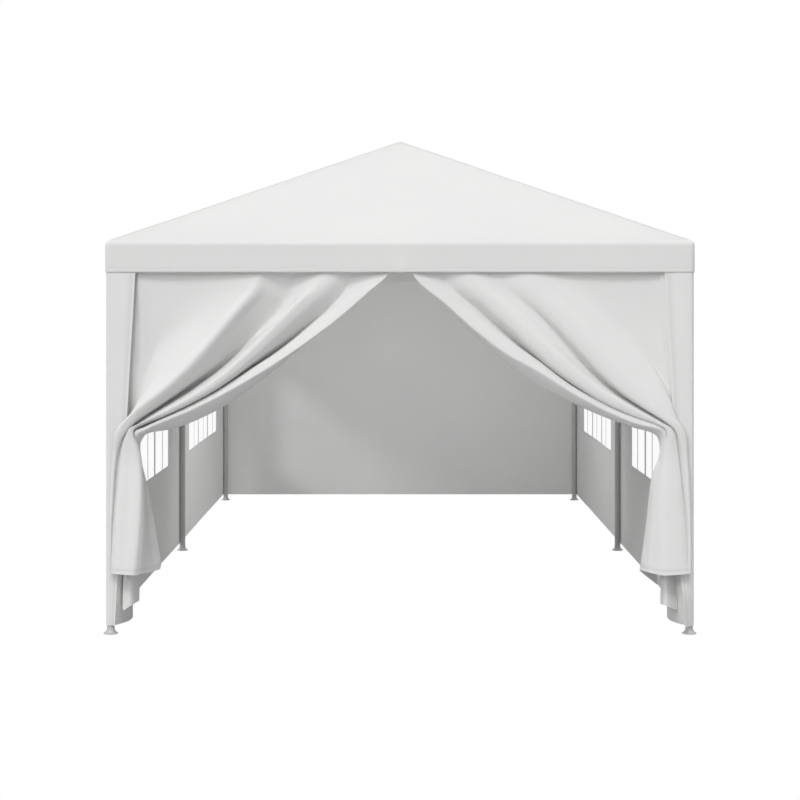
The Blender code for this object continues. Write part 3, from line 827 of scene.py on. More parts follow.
for side_name, side in SIDES:
    for end_name, end in ENDS:
        name = f"wall_{side_name}_{end_name}"
        columns = [end * (0.0005 + (WALL_FAR - 0.001) * i / WALL_COLUMNS) for i in range(WALL_COLUMNS + 1)]
        rows = []
        uvs = []
        seams = []
        for z in wall_levels():
            rows.append([Vector((side * (WALL_FACE + wall_belly(y, z)), y, z)) for y in columns])
            uvs.append([(y, z) for y in columns])
            seams.append([foot_stitches(z)] * len(columns))
        wall = cloth_from_rows(name + "_sheet", rows, uvs, seams)
        for step in (-1, 0, 1):
            outline = window_outline(end * BAY_MIDDLE + step * WINDOW_PITCH)
            near, far = (side * (WALL_FACE + reach) for reach in CUTTER_REACH)
            tool = prism("window_tool", outline, near, far)
            cut = wall.modifiers.new("Window", "BOOLEAN")
            cut.object = tool
            cut.operation = "DIFFERENCE"
            cut.solver = "EXACT"
            select_only(wall)
            bpy.ops.object.modifier_apply(modifier=cut.name)
            bpy.data.objects.remove(tool, do_unlink=True)
        bpy.ops.object.shade_smooth_by_angle(angle=CUT_EDGE)
        finish_piece(wall, wall_cloth)
        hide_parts(name)

# %% [markdown]
# ## Window films and bars
# A single clear film is welded behind the three openings of a bay. White bars cross each window, as
# sewn tape: one upright in the middle and one across. They are thin closed strips that follow the
# wall as it bellies out.


# %% Add films and bars
BAR_WIDTH = 0.025
BAR_CLOTH = 0.0008
BAR_FACE = WALL_FACE - 0.0033
BAR_STEPS = 14
BAR_OVERLAP = 0.008
CROSS_HEIGHT = 1.13
FILM_FACE = 0.5 * (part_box("window_film_right_front")[0].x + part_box("window_film_right_front")[1].x)
FILM_THICKNESS = 0.0005
FILM_ROWS = 12
FILM_COLUMNS = 32


def strip(name, low, high, belly_side):
    """Thin closed tape between two (y, z) corners, that follows the wall's belly."""
    (y0, z0), (y1, z1) = low, high
    along_z = (z1 - z0) > (y1 - y0)
    rows = []
    uvs = []
    for i in range(BAR_STEPS + 1):
        part = i / BAR_STEPS
        if along_z:
            z = z0 + (z1 - z0) * part
            ends = ((y0, z), (y1, z))
        else:
            y = y0 + (y1 - y0) * part
            ends = ((y, z0), (y, z1))
        rows.append([Vector((belly_side * (BAR_FACE + wall_belly(y, z)), y, z)) for y, z in ends])
        uvs.append([(y, z) for y, z in ends])
    return cloth_from_rows(name, rows, uvs, [[0.0, 0.0] for row in rows], thickness=BAR_CLOTH)


for side_name, side in SIDES:
    for end_name, end in ENDS:
        label = f"{side_name}_{end_name}"
        low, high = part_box(f"window_film_{label}")
        rows = []
        uvs = []
        for i in range(FILM_ROWS + 1):
            z = low.z + (high.z - low.z) * i / FILM_ROWS
            row = []
            for k in range(FILM_COLUMNS + 1):
                y = low.y + (high.y - low.y) * k / FILM_COLUMNS
                row.append(Vector((side * (FILM_FACE + wall_belly(y, z)), y, z)))
            rows.append(row)
            uvs.append([(p.y, p.z) for p in row])
        plain = [[0.0] * len(row) for row in rows]
        sheet = cloth_from_rows(f"film_{label}", rows, uvs, plain, thickness=FILM_THICKNESS)
        finish_piece(sheet, film)
        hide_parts(f"window_film_{label}")
        trims = []
        for step in (-1, 0, 1):
            centre = end * BAY_MIDDLE + step * WINDOW_PITCH
            half = BAR_WIDTH / 2
            upright = strip(f"bar_upright_{label}_{step + 2}", (centre - half, WINDOW_SILL - BAR_OVERLAP),
                            (centre + half, WINDOW_CROWN + BAR_OVERLAP), side)
            reach = WINDOW_WIDTH / 2 + BAR_OVERLAP
            crossing = strip(f"bar_across_{label}_{step + 2}", (centre - reach, CROSS_HEIGHT - half),
                             (centre + reach, CROSS_HEIGHT + half), side)
            trims += [upright, crossing]
        for trim in trims:
            finish_piece(trim, wall_cloth)

# %% [markdown]
# ## Rear wall
# The rear wall is plain. It is one sheet that hangs across the two rear legs and wraps 6 cm round
# each corner. Its rows follow the plan of the corners, and it bellies out slightly in the middle.

# %% Shape the rear wall
SOLID_WALL = 0.002
REAR_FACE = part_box("rear_wall")[1].y - 0.5 * SOLID_WALL
REAR_STRAIGHT = 1.44
REAR_BELLY = 0.006
REAR_COLUMNS = 56
CORNER_RADIUS = 0.020
RETURN = 0.060


def corner_path(face_x, face_y, far_y):
    """Plan points from the return, round the corner, to the start of the straight face."""
    centre = (face_x - CORNER_RADIUS, face_y - CORNER_RADIUS)
    path = [(face_x, far_y), (face_x, 0.5 * (far_y + centre[1]))]
    for i in range(9):
        angle = radians(90 * i / 8)
        path.append((centre[0] + CORNER_RADIUS * cos(angle), centre[1] + CORNER_RADIUS * sin(angle)))
    return path


def rear_belly(x, z):
    """How far the rear wall stands out between the rear legs."""
    across = cos(pi / 2 * min(1.0, abs(x) / REAR_STRAIGHT)) ** 1.2
    down = smooth_step(WALL_TOP - z, 0.16, 0.5) * smooth_step(z - WALL_BOTTOM, -0.15, 0.3)
    return REAR_BELLY * across * down * (0.4 + ripple(1.2 * x, 0.3, 0.8 * z))


start = corner_path(WALL_FACE, REAR_FACE, REAR_FACE - RETURN)
middle = [(REAR_STRAIGHT * (1 - 2 * i / REAR_COLUMNS), REAR_FACE) for i in range(1, REAR_COLUMNS)]
plan = start + middle + [(-x, y) for x, y in reversed(start)]
rows = []
uvs = []
seams = []
for z in wall_levels():
    row = [Vector((x, y + (rear_belly(x, z) if abs(x) < REAR_STRAIGHT else 0.0), z)) for x, y in plan]
    rows.append(row)
    uvs.append([(way, z) for way in ways_along(row)])
    seams.append([foot_stitches(z)] * len(row))
rear_sheet = cloth_from_rows("rear_wall_sheet", rows, uvs, seams)
finish_piece(rear_sheet, wall_cloth)
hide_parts("rear_wall")
print("rear wall:", len(rear_sheet.data.polygons), "faces")

# %% [markdown]
# ## Front corner strips
# At each front corner a strip of cloth wraps the leg. It is wide at the top and narrows towards the
# floor, so its inner edge slants. The edge is a stitched hem. The lower part of the right strip is
# pushed forwards by the curtain behind it, so it leaves the leg at an angle and lies in half shade.

# %% Shape the corner strips
STRIP_EDGE_TOP = 1.337
STRIP_EDGE_BOTTOM = 1.449
STRIP_HEM = 0.016
TURN_ANGLE = radians(50.0)
TURN_WIDTH = 0.034
CORNER_X = WALL_FACE - CORNER_RADIUS
CORNER_Y = REAR_FACE - CORNER_RADIUS


def turned(plan, angle):
    """The plan line of a strip that leaves the leg early, at an angle to the front of the tent."""
    leave = radians(90.0) - angle
    moved = []
    for x, y in plan:
        beyond = CORNER_RADIUS * (atan2(y - CORNER_Y, x - CORNER_X) - leave) if x > CORNER_X else 0.0
        if x <= CORNER_X:
            beyond = CORNER_RADIUS * angle + CORNER_X - x
        if beyond > 0.0:
            x = CORNER_X + CORNER_RADIUS * cos(leave) - beyond * sin(leave)
            y = CORNER_Y + CORNER_RADIUS * sin(leave) + beyond * cos(leave)
        moved.append((x, y))
    return moved


for side_name, side in SIDES:
    start = corner_path(WALL_FACE, REAR_FACE, REAR_FACE - RETURN)
    rows = []
    uvs = []
    seams = []
    for z in wall_levels():
        part = (z - WALL_BOTTOM) / (WALL_TOP - WALL_BOTTOM)
        turn = 1 - smooth_step(z, 0.15, 0.42) if side > 0 else 0.0
        edge = STRIP_EDGE_BOTTOM + (STRIP_EDGE_TOP - STRIP_EDGE_BOTTOM) * part - TURN_WIDTH * turn
        last = start[-1]
        hem_line = edge + STRIP_HEM
        stops = [last[0] + (hem_line - last[0]) * share for share in (0.25, 0.5, 0.75)]
        stops += [hem_line + 0.001, hem_line - 0.001, edge + 0.006, edge]
        plan = turned(start + [(x, REAR_FACE) for x in stops], TURN_ANGLE * turn)
        row = [Vector((side * x, -y, z)) for x, y in plan]
        rows.append(row)
        uvs.append([(way, z) for way in ways_along(row)])
        seams.append([foot_stitches(z)] * (len(row) - 4) + [0.25, 0.25, 0.0, 0.0])
    corner = cloth_from_rows(f"corner_strip_{side_name}_sheet", rows, uvs, seams)
    finish_piece(corner, wall_cloth)
    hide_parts(f"corner_strip_{side_name}")
print("corner strips: 2, with", len(corner.data.polygons), "faces each")

# %% [markdown]
# ## Curtains
# A curtain hangs from the front beam, is swept aside and is gathered at the leg about a metre up.
# Below the tie it falls in layers with its hem at different heights. Simulated cloth would fall
# anywhere, and the folds are what makes this tent's front, so the curtain is laid by its threads:
# each thread is a smooth line down the cloth along a crest, a crease or an edge, and the sheet is
# drawn through them. A crest thread is passed in a round curve and a crease thread in a tight one.

# %% Helpers for the threads
THREAD_ROWS_ABOVE = 84
THREAD_ROWS_BELOW = 66
ACROSS_STEPS = 11
CURTAIN_WIDTH = 1.38
STITCH_REACH = 0.004


def through(points, ways, way):
    """Point of a smooth curve through all of the points, at a distance along them."""
    i = max(0, min(len(points) - 2, sum(1 for w in ways if w <= way) - 1))
    tangents = []
    for k in (i, i + 1):
        left = max(k - 1, 0)
        right = min(k + 1, len(points) - 1)
        tangents.append((points[right] - points[left]) / (ways[right] - ways[left]))
    span = ways[i + 1] - ways[i]
    t = min(1.0, max(0.0, (way - ways[i]) / span))
    t2 = t * t
    t3 = t2 * t
    start = points[i] * (2 * t3 - 3 * t2 + 1) + tangents[0] * span * (t3 - 2 * t2 + t)
    return start + points[i + 1] * (3 * t2 - 2 * t3) + tangents[1] * span * (t3 - t2)


def across(threads, row):
    """Points of one row of the cloth, drawn through the threads, with each thread's roundness."""
    spans = [max(0.0005, (after - before).length) for before, after in zip(row, row[1:])]
    tangents = []
    for k, thread in enumerate(threads):
        before = max(k - 1, 0)
        after = min(k, len(spans) - 1)
        into = (row[before + 1] - row[before]) / spans[before]
        onward = (row[after + 1] - row[after]) / spans[after]
        near = spans[after] / (spans[before] + spans[after])
        tangents.append((into * near + onward * (1 - near)) * thread["round"])
    points = []
    for k, span in enumerate(spans):
        for step in range(ACROSS_STEPS):
            t = step / ACROSS_STEPS
            t2 = t * t
            t3 = t2 * t
            point = row[k] * (2 * t3 - 3 * t2 + 1) + tangents[k] * span * (t3 - 2 * t2 + t)
            points.append(point + row[k + 1] * (3 * t2 - 2 * t3) + tangents[k + 1] * span * (t3 - t2))
    points.append(row[-1])
    return points


def curtain(name, threads, side):
    """Curtain sheet through its threads. Each thread lists its points above and below the tie."""
    rows = []
    for r in range(THREAD_ROWS_ABOVE + THREAD_ROWS_BELOW + 1):
        row = []
        for t in threads:
            if r <= THREAD_ROWS_ABOVE:
                way = t["tie"] * r / THREAD_ROWS_ABOVE
            else:
                way = t["tie"] + (t["ways"][-1] - t["tie"]) * (r - THREAD_ROWS_ABOVE) / THREAD_ROWS_BELOW
            row.append(through(t["points"], t["ways"], way))
        rows.append(across(threads, row))
    rows = [[Vector((side * p.x, p.y, p.z)) for p in row] for row in rows]
    shares = []
    for k in range(len(threads) - 1):
        for step in range(ACROSS_STEPS):
            start = threads[k]["share"]
            shares.append(start + (threads[k + 1]["share"] - start) * step / ACROSS_STEPS)
    shares.append(threads[-1]["share"])
    lengths = [0.0] * len(shares)
    uvs = [[(share * CURTAIN_WIDTH, 0.0) for share in shares]]
    for before, row in zip(rows, rows[1:]):
        lengths = [length + (p - q).length for length, p, q in zip(lengths, row, before)]
        uvs.append([(share * CURTAIN_WIDTH, length) for share, length in zip(shares, lengths)])
    seams = []
    for r, row in enumerate(rows):
        line = []
        for c in range(len(row)):
            from_hem = lengths[c] - uvs[r][c][1]
            line.append(0.3 if abs(from_hem - HEM) < STITCH_REACH else 0.0)
        seams.append(line)
    return cloth_from_rows(name, rows, uvs, seams)


def thread(share, roundness, above, below):
    """A thread of the cloth at a share of its width: its points from the beam to the tie, and below it."""
    points = [Vector(p) for p in above + below]
    ways = ways_along(points)
    return {"share": share, "round": roundness, "points": points, "ways": ways, "tie": ways[len(above) - 1]}


# %% [markdown]
# The points are in metres from the middle of the tent, for a curtain on the +X side: across, then
# forwards as minus Y, then up. They run from the beam down to the tie, and on to the lower hem. Both
# curtains fall in the same layers, and the left one has deeper folds.

# %% Lay the threads of both curtains
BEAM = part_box("eave_beam_front")[0].z - 0.0003
MID = 0.5 * (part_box("eave_beam_front")[0].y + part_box("eave_beam_front")[1].y)

SHARES = (
    ("outer", 0.00, 1.0), ("behind", 0.04, 0.8), ("back", 0.10, 0.35), ("turn", 0.15, 0.35),
    ("second", 0.20, 0.4), ("second_mid", 0.30, 0.9), ("second_front", 0.40, 0.6), ("under", 0.44, 0.9),
    ("side", 0.485, 1.0), ("crest_a", 0.535, 1.0), ("flank_a", 0.585, 0.9), ("crease_a", 0.645, 0.7),
    ("rise_b", 0.70, 0.9), ("crest_b", 0.745, 1.0), ("flank_b", 0.785, 0.9), ("crease_b", 0.84, 0.5),
    ("hem_top", 0.885, 0.5), ("hem_low", 0.915, 0.6), ("underside", 0.96, 0.8), ("leading", 1.00, 1.0),
)

TAILS = {
    "outer": [(1.412, -2.984, 0.88), (1.428, -2.99, 0.62), (1.442, -2.992, 0.33), (1.453, -2.993, 0.045)],
    "behind": [(1.398, -2.955, 0.88), (1.408, -2.96, 0.62), (1.425, -2.98, 0.30), (1.446, -2.98, 0.045)],
    "back": [(1.378, -2.92, 0.88), (1.384, -2.85, 0.62), (1.392, -2.785, 0.33), (1.397, -2.735, 0.045)],
    "turn": [(1.37, -2.89, 0.88), (1.374, -2.83, 0.62), (1.384, -2.775, 0.36), (1.396, -2.74, 0.105)],
    "second": [(1.36, -2.89, 0.88), (1.352, -2.85, 0.64), (1.35, -2.815, 0.38), (1.355, -2.80, 0.137)],
    "second_mid": [(1.362, -2.955, 0.88), (1.362, -2.96, 0.64), (1.366, -2.975, 0.38),
                   (1.375, -2.98, 0.14)],
    "second_front": [(1.385, -2.968, 0.88), (1.393, -2.972, 0.66), (1.399, -2.976, 0.40),
                     (1.405, -2.98, 0.12)],
    "under": [(1.42, -3.00, 0.90), (1.418, -3.00, 0.70), (1.41, -2.998, 0.50), (1.394, -2.992, 0.33)],
    "side": [(1.464, -3.004, 0.90), (1.474, -3.006, 0.72), (1.472, -3.01, 0.52), (1.462, -3.016, 0.318)],
    "crest_a": [(1.452, -3.022, 0.90), (1.465, -3.02, 0.70), (1.471, -3.021, 0.51), (1.468, -3.024, 0.319)],
    "flank_a": [(1.438, -3.02, 0.90), (1.455, -3.021, 0.71), (1.465, -3.024, 0.51), (1.468, -3.028, 0.318)],
    "crease_a": [(1.43, -2.999, 0.90), (1.447, -3.004, 0.71), (1.459, -3.014, 0.51),
                 (1.463, -3.025, 0.316)],
    "rise_b": [(1.414, -3.012, 0.90), (1.432, -3.021, 0.71), (1.444, -3.03, 0.51), (1.447, -3.038, 0.314)],
    "crest_b": [(1.374, -3.018, 0.91), (1.378, -3.034, 0.70), (1.385, -3.046, 0.50),
                (1.395, -3.054, 0.312)],
    "flank_b": [(1.325, -3.014, 0.92), (1.308, -3.036, 0.72), (1.32, -3.052, 0.50), (1.34, -3.061, 0.31)],
    "crease_b": [(1.32, -3.002, 0.93), (1.30, -3.018, 0.73), (1.303, -3.032, 0.50), (1.318, -3.038, 0.312)],
    "hem_top": [(1.322, -2.985, 0.935), (1.30, -2.978, 0.74), (1.29, -2.975, 0.52), (1.29, -2.97, 0.309)],
    "hem_low": [(1.328, -2.955, 0.935), (1.304, -2.93, 0.75), (1.284, -2.918, 0.54),
                (1.263, -2.915, 0.309)],
    "underside": [(1.336, -2.925, 0.93), (1.306, -2.885, 0.77), (1.272, -2.868, 0.57),
                  (1.238, -2.865, 0.312)],
    "leading": [(1.345, -2.89, 0.92), (1.325, -2.862, 0.78), (1.29, -2.848, 0.64), (1.262, -2.845, 0.50)],
}

RIGHT_TAILS = dict(TAILS)
RIGHT_TAILS.update({
    "second": [(1.36, -2.89, 0.88), (1.345, -2.93, 0.64), (1.335, -2.95, 0.38), (1.332, -2.95, 0.146)],
    "second_mid": [(1.362, -2.955, 0.88), (1.352, -2.97, 0.64), (1.346, -2.984, 0.38),
                   (1.347, -2.987, 0.146)],
    "second_front": [(1.385, -2.968, 0.88), (1.397, -2.968, 0.66), (1.408, -2.958, 0.40),
                     (1.412, -2.95, 0.117)],
    "side": [(1.464, -3.005, 0.90), (1.474, -3.012, 0.72), (1.472, -3.028, 0.52), (1.462, -3.044, 0.32)],
    "crest_a": [(1.452, -3.02, 0.90), (1.465, -3.026, 0.70), (1.471, -3.036, 0.51), (1.468, -3.048, 0.321)],
    "flank_a": [(1.438, -3.018, 0.90), (1.455, -3.027, 0.71), (1.465, -3.038, 0.51), (1.468, -3.05, 0.319)],
    "crease_a": [(1.412, -2.999, 0.92), (1.428, -3.008, 0.78), (1.456, -3.025, 0.56),
                 (1.462, -3.048, 0.317)],
    "rise_b": [(1.414, -3.01, 0.90), (1.432, -3.025, 0.71), (1.444, -3.04, 0.51), (1.447, -3.053, 0.315)],
    "crest_b": [(1.378, -3.02, 0.91), (1.38, -3.04, 0.70), (1.386, -3.054, 0.50), (1.39, -3.065, 0.312)],
    "flank_b": [(1.348, -3.016, 0.92), (1.33, -3.037, 0.72), (1.324, -3.052, 0.50), (1.324, -3.061, 0.31)],
    "crease_b": [(1.34, -3.01, 0.93), (1.316, -3.029, 0.74), (1.309, -3.043, 0.53), (1.306, -3.052, 0.311)],
    "hem_top": [(1.334, -3.002, 0.93), (1.304, -3.016, 0.76), (1.293, -3.029, 0.55),
                (1.288, -3.038, 0.313)],
    "hem_low": [(1.328, -2.99, 0.93), (1.292, -3.00, 0.78), (1.276, -3.012, 0.57), (1.262, -3.02, 0.318)],
    "underside": [(1.322, -2.985, 0.93), (1.28, -2.98, 0.785), (1.257, -2.975, 0.58),
                  (1.226, -2.965, 0.322)],
    "leading": [(1.345, -2.935, 0.92), (1.318, -2.90, 0.76), (1.315, -2.86, 0.56), (1.33, -2.82, 0.225)],
})

LEFT_FOLDS = {
    "outer": [(1.355, MID, BEAM), (1.372, -2.968, 1.80), (1.40, -2.96, 1.50), (1.41, -2.957, 1.25),
              (1.387, -2.955, 1.015)],
    "behind": [(1.345, MID, BEAM), (1.352, -2.962, 1.80), (1.372, -2.952, 1.50), (1.388, -2.945, 1.22),
               (1.386, -2.915, 1.015)],
    "back": [(1.315, MID, BEAM), (1.337, -2.972, 1.80), (1.325, -2.954, 1.52), (1.322, -2.948, 1.34),
             (1.34, -2.96, 1.16), (1.372, -3.00, 1.015)],
    "turn": [(1.245, MID, BEAM), (1.258, -2.968, 1.83), (1.268, -2.953, 1.60), (1.30, -2.942, 1.38),
             (1.332, -2.957, 1.18), (1.366, -2.95, 1.015)],
    "second": [(1.17, MID, BEAM), (1.175, -2.966, 1.83), (1.205, -2.951, 1.62), (1.275, -2.941, 1.38),
               (1.325, -2.962, 1.205), (1.364, -2.93, 1.015)],
    "second_mid": [(1.00, MID, BEAM), (1.01, -2.966, 1.83), (1.07, -2.957, 1.70), (1.205, -2.948, 1.48),
                   (1.305, -2.964, 1.275), (1.34, -2.986, 1.15), (1.366, -3.00, 1.015)],
    "second_front": [(0.88, MID, BEAM), (0.905, -2.969, 1.80), (1.01, -2.963, 1.66), (1.165, -2.959, 1.48),
                     (1.29, -2.977, 1.268), (1.345, -2.998, 1.145), (1.378, -2.94, 1.015)],
    "under": [(0.81, MID, BEAM), (0.845, -2.973, 1.79), (0.915, -2.973, 1.70), (1.065, -2.979, 1.515),
              (1.216, -2.993, 1.335), (1.30, -3.007, 1.23), (1.36, -3.012, 1.13), (1.415, -3.00, 1.02)],
    "side": [(0.75, MID, BEAM), (0.785, -2.98, 1.765), (0.911, -2.991, 1.615), (1.063, -3.003, 1.442),
             (1.215, -3.02, 1.28), (1.305, -3.027, 1.195), (1.385, -3.022, 1.10), (1.448, -3.01, 1.028)],
    "crest_a": [(0.69, MID, BEAM), (0.725, -2.984, 1.795), (0.775, -2.994, 1.715), (0.915, -3.012, 1.545),
                (1.065, -3.03, 1.372), (1.215, -3.042, 1.232), (1.33, -3.042, 1.146),
                (1.434, -3.036, 1.035)],
    "flank_a": [(0.61, MID, BEAM), (0.665, -2.958, 1.75), (0.762, -2.955, 1.64), (0.912, -2.97, 1.462),
                (1.064, -2.996, 1.302), (1.215, -3.017, 1.184), (1.335, -3.029, 1.096),
                (1.408, -3.026, 1.00)],
    "crease_a": [(0.50, MID, BEAM), (0.60, -2.925, 1.68), (0.758, -2.885, 1.505), (0.912, -2.874, 1.362),
                 (1.064, -2.882, 1.258), (1.215, -2.916, 1.16), (1.345, -2.972, 1.072),
                 (1.40, -3.004, 1.01)],
    "rise_b": [(0.42, MID, BEAM), (0.56, -2.95, 1.665), (0.758, -2.94, 1.482), (0.912, -2.946, 1.34),
               (1.064, -2.96, 1.232), (1.215, -2.982, 1.142), (1.34, -3.004, 1.063),
               (1.388, -3.015, 1.028)],
    "crest_b": [(0.34, MID, BEAM), (0.407, -2.988, 1.795), (0.509, -3.00, 1.705), (0.611, -3.009, 1.598),
                (0.762, -3.013, 1.444), (0.915, -3.013, 1.306), (1.066, -3.014, 1.204),
                (1.216, -3.018, 1.122), (1.325, -3.025, 1.068), (1.368, -3.026, 1.045)],
    "flank_b": [(0.26, MID, BEAM), (0.35, -2.982, 1.785), (0.457, -2.99, 1.683), (0.61, -2.998, 1.532),
                (0.762, -3.004, 1.394), (0.915, -3.007, 1.272), (1.067, -3.009, 1.182),
                (1.22, -3.014, 1.108), (1.30, -3.018, 1.074), (1.356, -3.022, 1.036)],
    "crease_b": [(0.19, MID, BEAM), (0.30, -2.942, 1.725), (0.461, -2.912, 1.576), (0.615, -2.898, 1.45),
                 (0.769, -2.896, 1.347), (0.922, -2.902, 1.246), (1.076, -2.912, 1.162),
                 (1.225, -2.93, 1.094), (1.30, -2.945, 1.06), (1.35, -2.99, 1.034)],
    "hem_top": [(0.09, MID, BEAM), (0.153, -2.974, 1.815), (0.306, -2.97, 1.689), (0.459, -2.968, 1.562),
                (0.611, -2.967, 1.44), (0.764, -2.969, 1.342), (0.917, -2.974, 1.243),
                (1.07, -2.982, 1.159), (1.223, -2.995, 1.088), (1.30, -3.004, 1.05),
                (1.345, -3.014, 1.024)],
    "hem_low": [(0.02, MID, BEAM), (0.061, -2.985, 1.83), (0.153, -2.992, 1.745), (0.305, -2.994, 1.612),
                (0.457, -2.996, 1.498), (0.61, -2.996, 1.394), (0.762, -2.996, 1.30),
                (0.915, -2.997, 1.216), (1.067, -2.999, 1.142), (1.22, -3.005, 1.079),
                (1.296, -3.01, 1.042), (1.335, -3.012, 1.018)],
    "underside": [(0.03, MID, BEAM), (0.08, -2.972, 1.83), (0.24, -2.95, 1.69), (0.42, -2.915, 1.545),
                  (0.56, -2.885, 1.42), (0.71, -2.868, 1.297), (0.90, -2.862, 1.16), (1.01, -2.862, 1.102),
                  (1.11, -2.866, 1.06), (1.192, -2.88, 1.036), (1.29, -2.925, 1.02), (1.312, -2.935, 1.00)],
    "leading": [(0.06, MID, BEAM), (0.12, -2.955, 1.84), (0.28, -2.93, 1.73), (0.50, -2.88, 1.55),
                (0.75, -2.85, 1.35), (1.00, -2.845, 1.18), (1.20, -2.86, 1.09), (1.335, -2.90, 1.03)],
}

RIGHT_FOLDS = dict(LEFT_FOLDS)
RIGHT_FOLDS.update({
    "outer": [(1.355, MID, BEAM), (1.372, -2.975, 1.80), (1.402, -2.984, 1.50), (1.418, -2.986, 1.20),
              (1.405, -2.97, 1.015)],
    "behind": [(1.345, MID, BEAM), (1.352, -2.984, 1.80), (1.372, -2.988, 1.50), (1.405, -2.991, 1.20),
               (1.412, -2.985, 1.09), (1.392, -2.925, 1.015)],
    "back": [(1.315, MID, BEAM), (1.325, -2.972, 1.80), (1.338, -2.958, 1.50), (1.362, -2.968, 1.30),
             (1.402, -2.985, 1.16), (1.384, -3.00, 1.015)],
    "turn": [(1.245, MID, BEAM), (1.258, -2.968, 1.83), (1.282, -2.956, 1.60), (1.33, -2.957, 1.38),
             (1.39, -2.98, 1.20), (1.402, -2.986, 1.10), (1.372, -2.975, 1.015)],
    "second": [(1.17, MID, BEAM), (1.18, -2.967, 1.83), (1.215, -2.956, 1.62), (1.29, -2.956, 1.38),
               (1.375, -2.98, 1.22), (1.40, -2.988, 1.11), (1.368, -2.96, 1.015)],
    "second_mid": [(1.00, MID, BEAM), (1.01, -2.967, 1.83), (1.08, -2.96, 1.68), (1.215, -2.961, 1.46),
                   (1.352, -2.984, 1.245), (1.396, -2.992, 1.125), (1.372, -2.99, 1.015)],
    "second_front": [(0.84, MID, BEAM), (0.865, -2.97, 1.83), (0.985, -2.967, 1.695), (1.15, -2.969, 1.50),
                     (1.325, -2.99, 1.262), (1.39, -3.00, 1.145), (1.384, -2.975, 1.015)],
    "under": [(0.75, MID, BEAM), (0.785, -2.976, 1.83), (0.948, -2.979, 1.665), (1.11, -2.985, 1.475),
              (1.265, -2.998, 1.295), (1.35, -3.007, 1.195), (1.40, -3.008, 1.11), (1.415, -3.00, 1.03)],
    "side": [(0.68, MID, BEAM), (0.725, -2.984, 1.825), (0.905, -2.995, 1.633), (1.075, -3.005, 1.443),
             (1.24, -3.018, 1.255), (1.345, -3.018, 1.155), (1.448, -3.008, 1.03)],
    "crest_a": [(0.60, MID, BEAM), (0.66, -2.99, 1.805), (0.813, -3.006, 1.665), (0.965, -3.017, 1.51),
                (1.118, -3.026, 1.338), (1.245, -3.03, 1.212), (1.346, -3.03, 1.13), (1.43, -3.03, 1.042)],
    "flank_a": [(0.50, MID, BEAM), (0.58, -2.982, 1.79), (0.711, -2.992, 1.655), (0.86, -3.002, 1.495),
                (1.00, -3.012, 1.345), (1.118, -3.02, 1.235), (1.245, -3.026, 1.147), (1.346, -3.03, 1.082),
                (1.40, -3.026, 1.03)],
    "crease_a": [(0.45, MID, BEAM), (0.54, -2.975, 1.775), (0.70, -2.972, 1.63), (0.86, -2.965, 1.468),
                 (1.00, -2.955, 1.325), (1.13, -2.955, 1.215), (1.25, -2.965, 1.138), (1.346, -2.985, 1.08),
                 (1.394, -3.008, 1.032)],
    "rise_b": [(0.39, MID, BEAM), (0.48, -2.98, 1.77), (0.64, -2.982, 1.625), (0.80, -2.98, 1.47),
               (0.94, -2.976, 1.345), (1.08, -2.978, 1.235), (1.23, -2.988, 1.14), (1.34, -3.005, 1.076),
               (1.386, -3.016, 1.04)],
    "crest_b": [(0.31, MID, BEAM), (0.406, -2.992, 1.787), (0.508, -3.00, 1.69), (0.66, -3.006, 1.54),
                (0.813, -3.008, 1.425), (0.965, -3.008, 1.283), (1.118, -3.01, 1.188),
                (1.245, -3.016, 1.118), (1.32, -3.022, 1.072), (1.37, -3.026, 1.04)],
    "flank_b": [(0.23, MID, BEAM), (0.33, -2.985, 1.78), (0.45, -2.99, 1.66), (0.61, -2.996, 1.51),
                (0.76, -3.00, 1.375), (0.889, -3.002, 1.278), (1.041, -3.004, 1.182), (1.194, -3.008, 1.11),
                (1.295, -3.014, 1.072), (1.352, -3.02, 1.034)],
    "crease_b": [(0.17, MID, BEAM), (0.25, -2.962, 1.78), (0.38, -2.945, 1.665), (0.54, -2.935, 1.535),
                 (0.70, -2.926, 1.39), (0.84, -2.922, 1.285), (1.03, -2.926, 1.172), (1.19, -2.94, 1.10),
                 (1.29, -2.97, 1.062), (1.348, -3.006, 1.034)],
    "hem_top": [(0.06, MID, BEAM), (0.125, -2.978, 1.83), (0.235, -2.975, 1.738), (0.338, -2.974, 1.654),
                (0.546, -2.972, 1.498), (0.711, -2.974, 1.384), (0.85, -2.978, 1.278),
                (0.965, -2.982, 1.21), (1.118, -2.99, 1.132), (1.245, -3.00, 1.085),
                (1.345, -3.014, 1.034)],
    "hem_low": [(0.03, MID, BEAM), (0.075, -2.986, 1.814), (0.235, -2.994, 1.677), (0.39, -2.996, 1.539),
                (0.544, -2.998, 1.424), (0.711, -2.998, 1.335), (0.88, -2.996, 1.228),
                (1.041, -2.998, 1.14), (1.194, -3.004, 1.075), (1.328, -3.01, 1.032)],
    "underside": [(0.04, MID, BEAM), (0.08, -2.97, 1.80), (0.205, -2.955, 1.682), (0.41, -2.93, 1.497),
                  (0.615, -2.915, 1.325), (0.82, -2.906, 1.203), (1.045, -2.905, 1.101),
                  (1.20, -2.912, 1.047), (1.29, -2.93, 1.02), (1.315, -2.94, 1.00)],
    "leading": [(0.07, MID, BEAM), (0.13, -2.955, 1.83), (0.27, -2.925, 1.71), (0.50, -2.89, 1.51),
                (0.80, -2.868, 1.30), (1.05, -2.862, 1.17), (1.22, -2.87, 1.09), (1.335, -2.90, 1.03)],
})

DRAWN_BACK = (("left", -1, LEFT_FOLDS, TAILS), ("right", 1, RIGHT_FOLDS, RIGHT_TAILS))

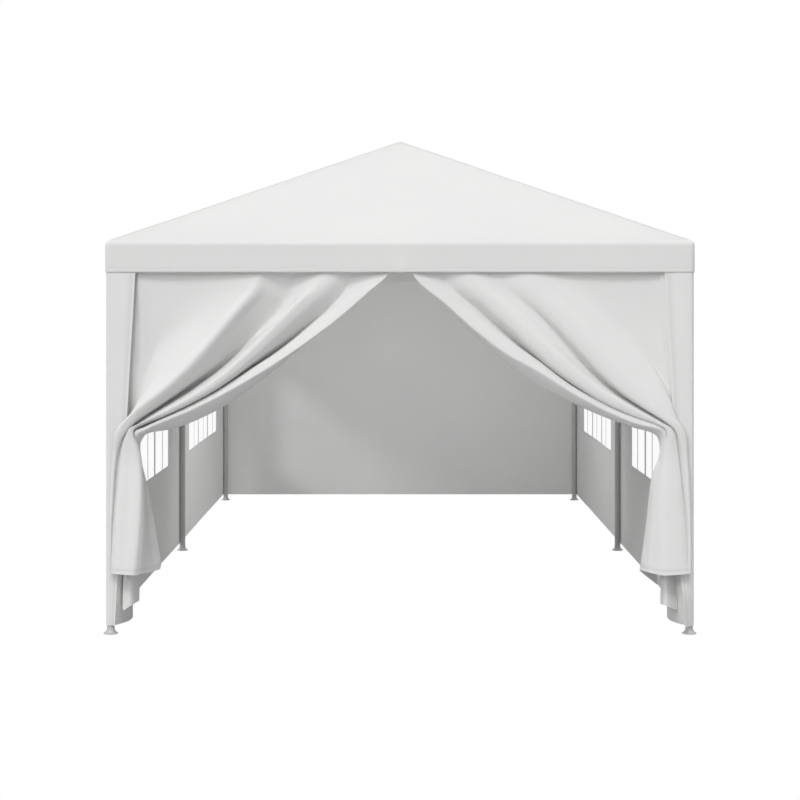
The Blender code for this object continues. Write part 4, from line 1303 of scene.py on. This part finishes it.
for side_name, side, folds, tails in DRAWN_BACK:
    threads = [thread(share, roundness, folds[key], tails[key]) for key, share, roundness in SHARES]
    sheet = curtain(f"curtain_{side_name}_sheet", threads, side)
    finish_piece(sheet, wall_cloth)
    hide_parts(f"curtain_{side_name}")
    print("curtain:", sheet.name, len(sheet.data.polygons), "faces")

# %% [markdown]
# ## Curtain ties
# A strap of webbing runs from the leg round the gathered cloth and back. It is swept along its plan
# route with the flat section of real webbing, 25 mm high with soft edges.

# %% Sweep the ties
STRAP_HALF = 0.0125
STRAP_THICKNESS = 0.0014
STRAP_LEVELS = [STRAP_HALF * share for share in (-1, -0.96, 0, 0.96, 1)]
STRAP_FAR = 1.3885
STRAP_NEAR = 1.355
STRAP_BEND = 0.022
STRAP_ARC = 6
STRAP_ENDS = 0.007
SOLID_STRAP = 0.0015

for side_name, side in SIDES:
    low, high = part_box(f"curtain_tie_{side_name}")
    leg_side = max(abs(low.x), abs(high.x))
    front = low.y + 0.5 * SOLID_STRAP + STRAP_BEND
    back = high.y - 0.5 * SOLID_STRAP - STRAP_BEND
    far = STRAP_FAR - STRAP_BEND
    near = STRAP_NEAR + STRAP_BEND
    path = [Vector((leg_side, -LEG_ROW - STRAP_ENDS))]
    for turn, centre in enumerate(((far, front), (near, front), (near, back), (far, back))):
        for i in range(STRAP_ARC + 1):
            angle = radians(-90 * (turn + i / STRAP_ARC))
            path.append(Vector(centre) + STRAP_BEND * Vector((cos(angle), sin(angle))))
    path.append(Vector((leg_side, -LEG_ROW + STRAP_ENDS)))
    middle = 0.5 * (low.z + high.z)
    rows = [[Vector((side * spot.x, spot.y, middle + level)) for level in STRAP_LEVELS] for spot in path]
    uvs = [[(way, level) for level in STRAP_LEVELS] for way in ways_along(path)]
    plain = [[0.0] * len(row) for row in rows]
    strap = cloth_from_rows(f"tie_{side_name}_webbing", rows, uvs, plain, thickness=STRAP_THICKNESS)
    finish_piece(strap, webbing)
    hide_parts(f"curtain_tie_{side_name}")
    print("tie:", strap.name, len(strap.data.polygons), "faces")
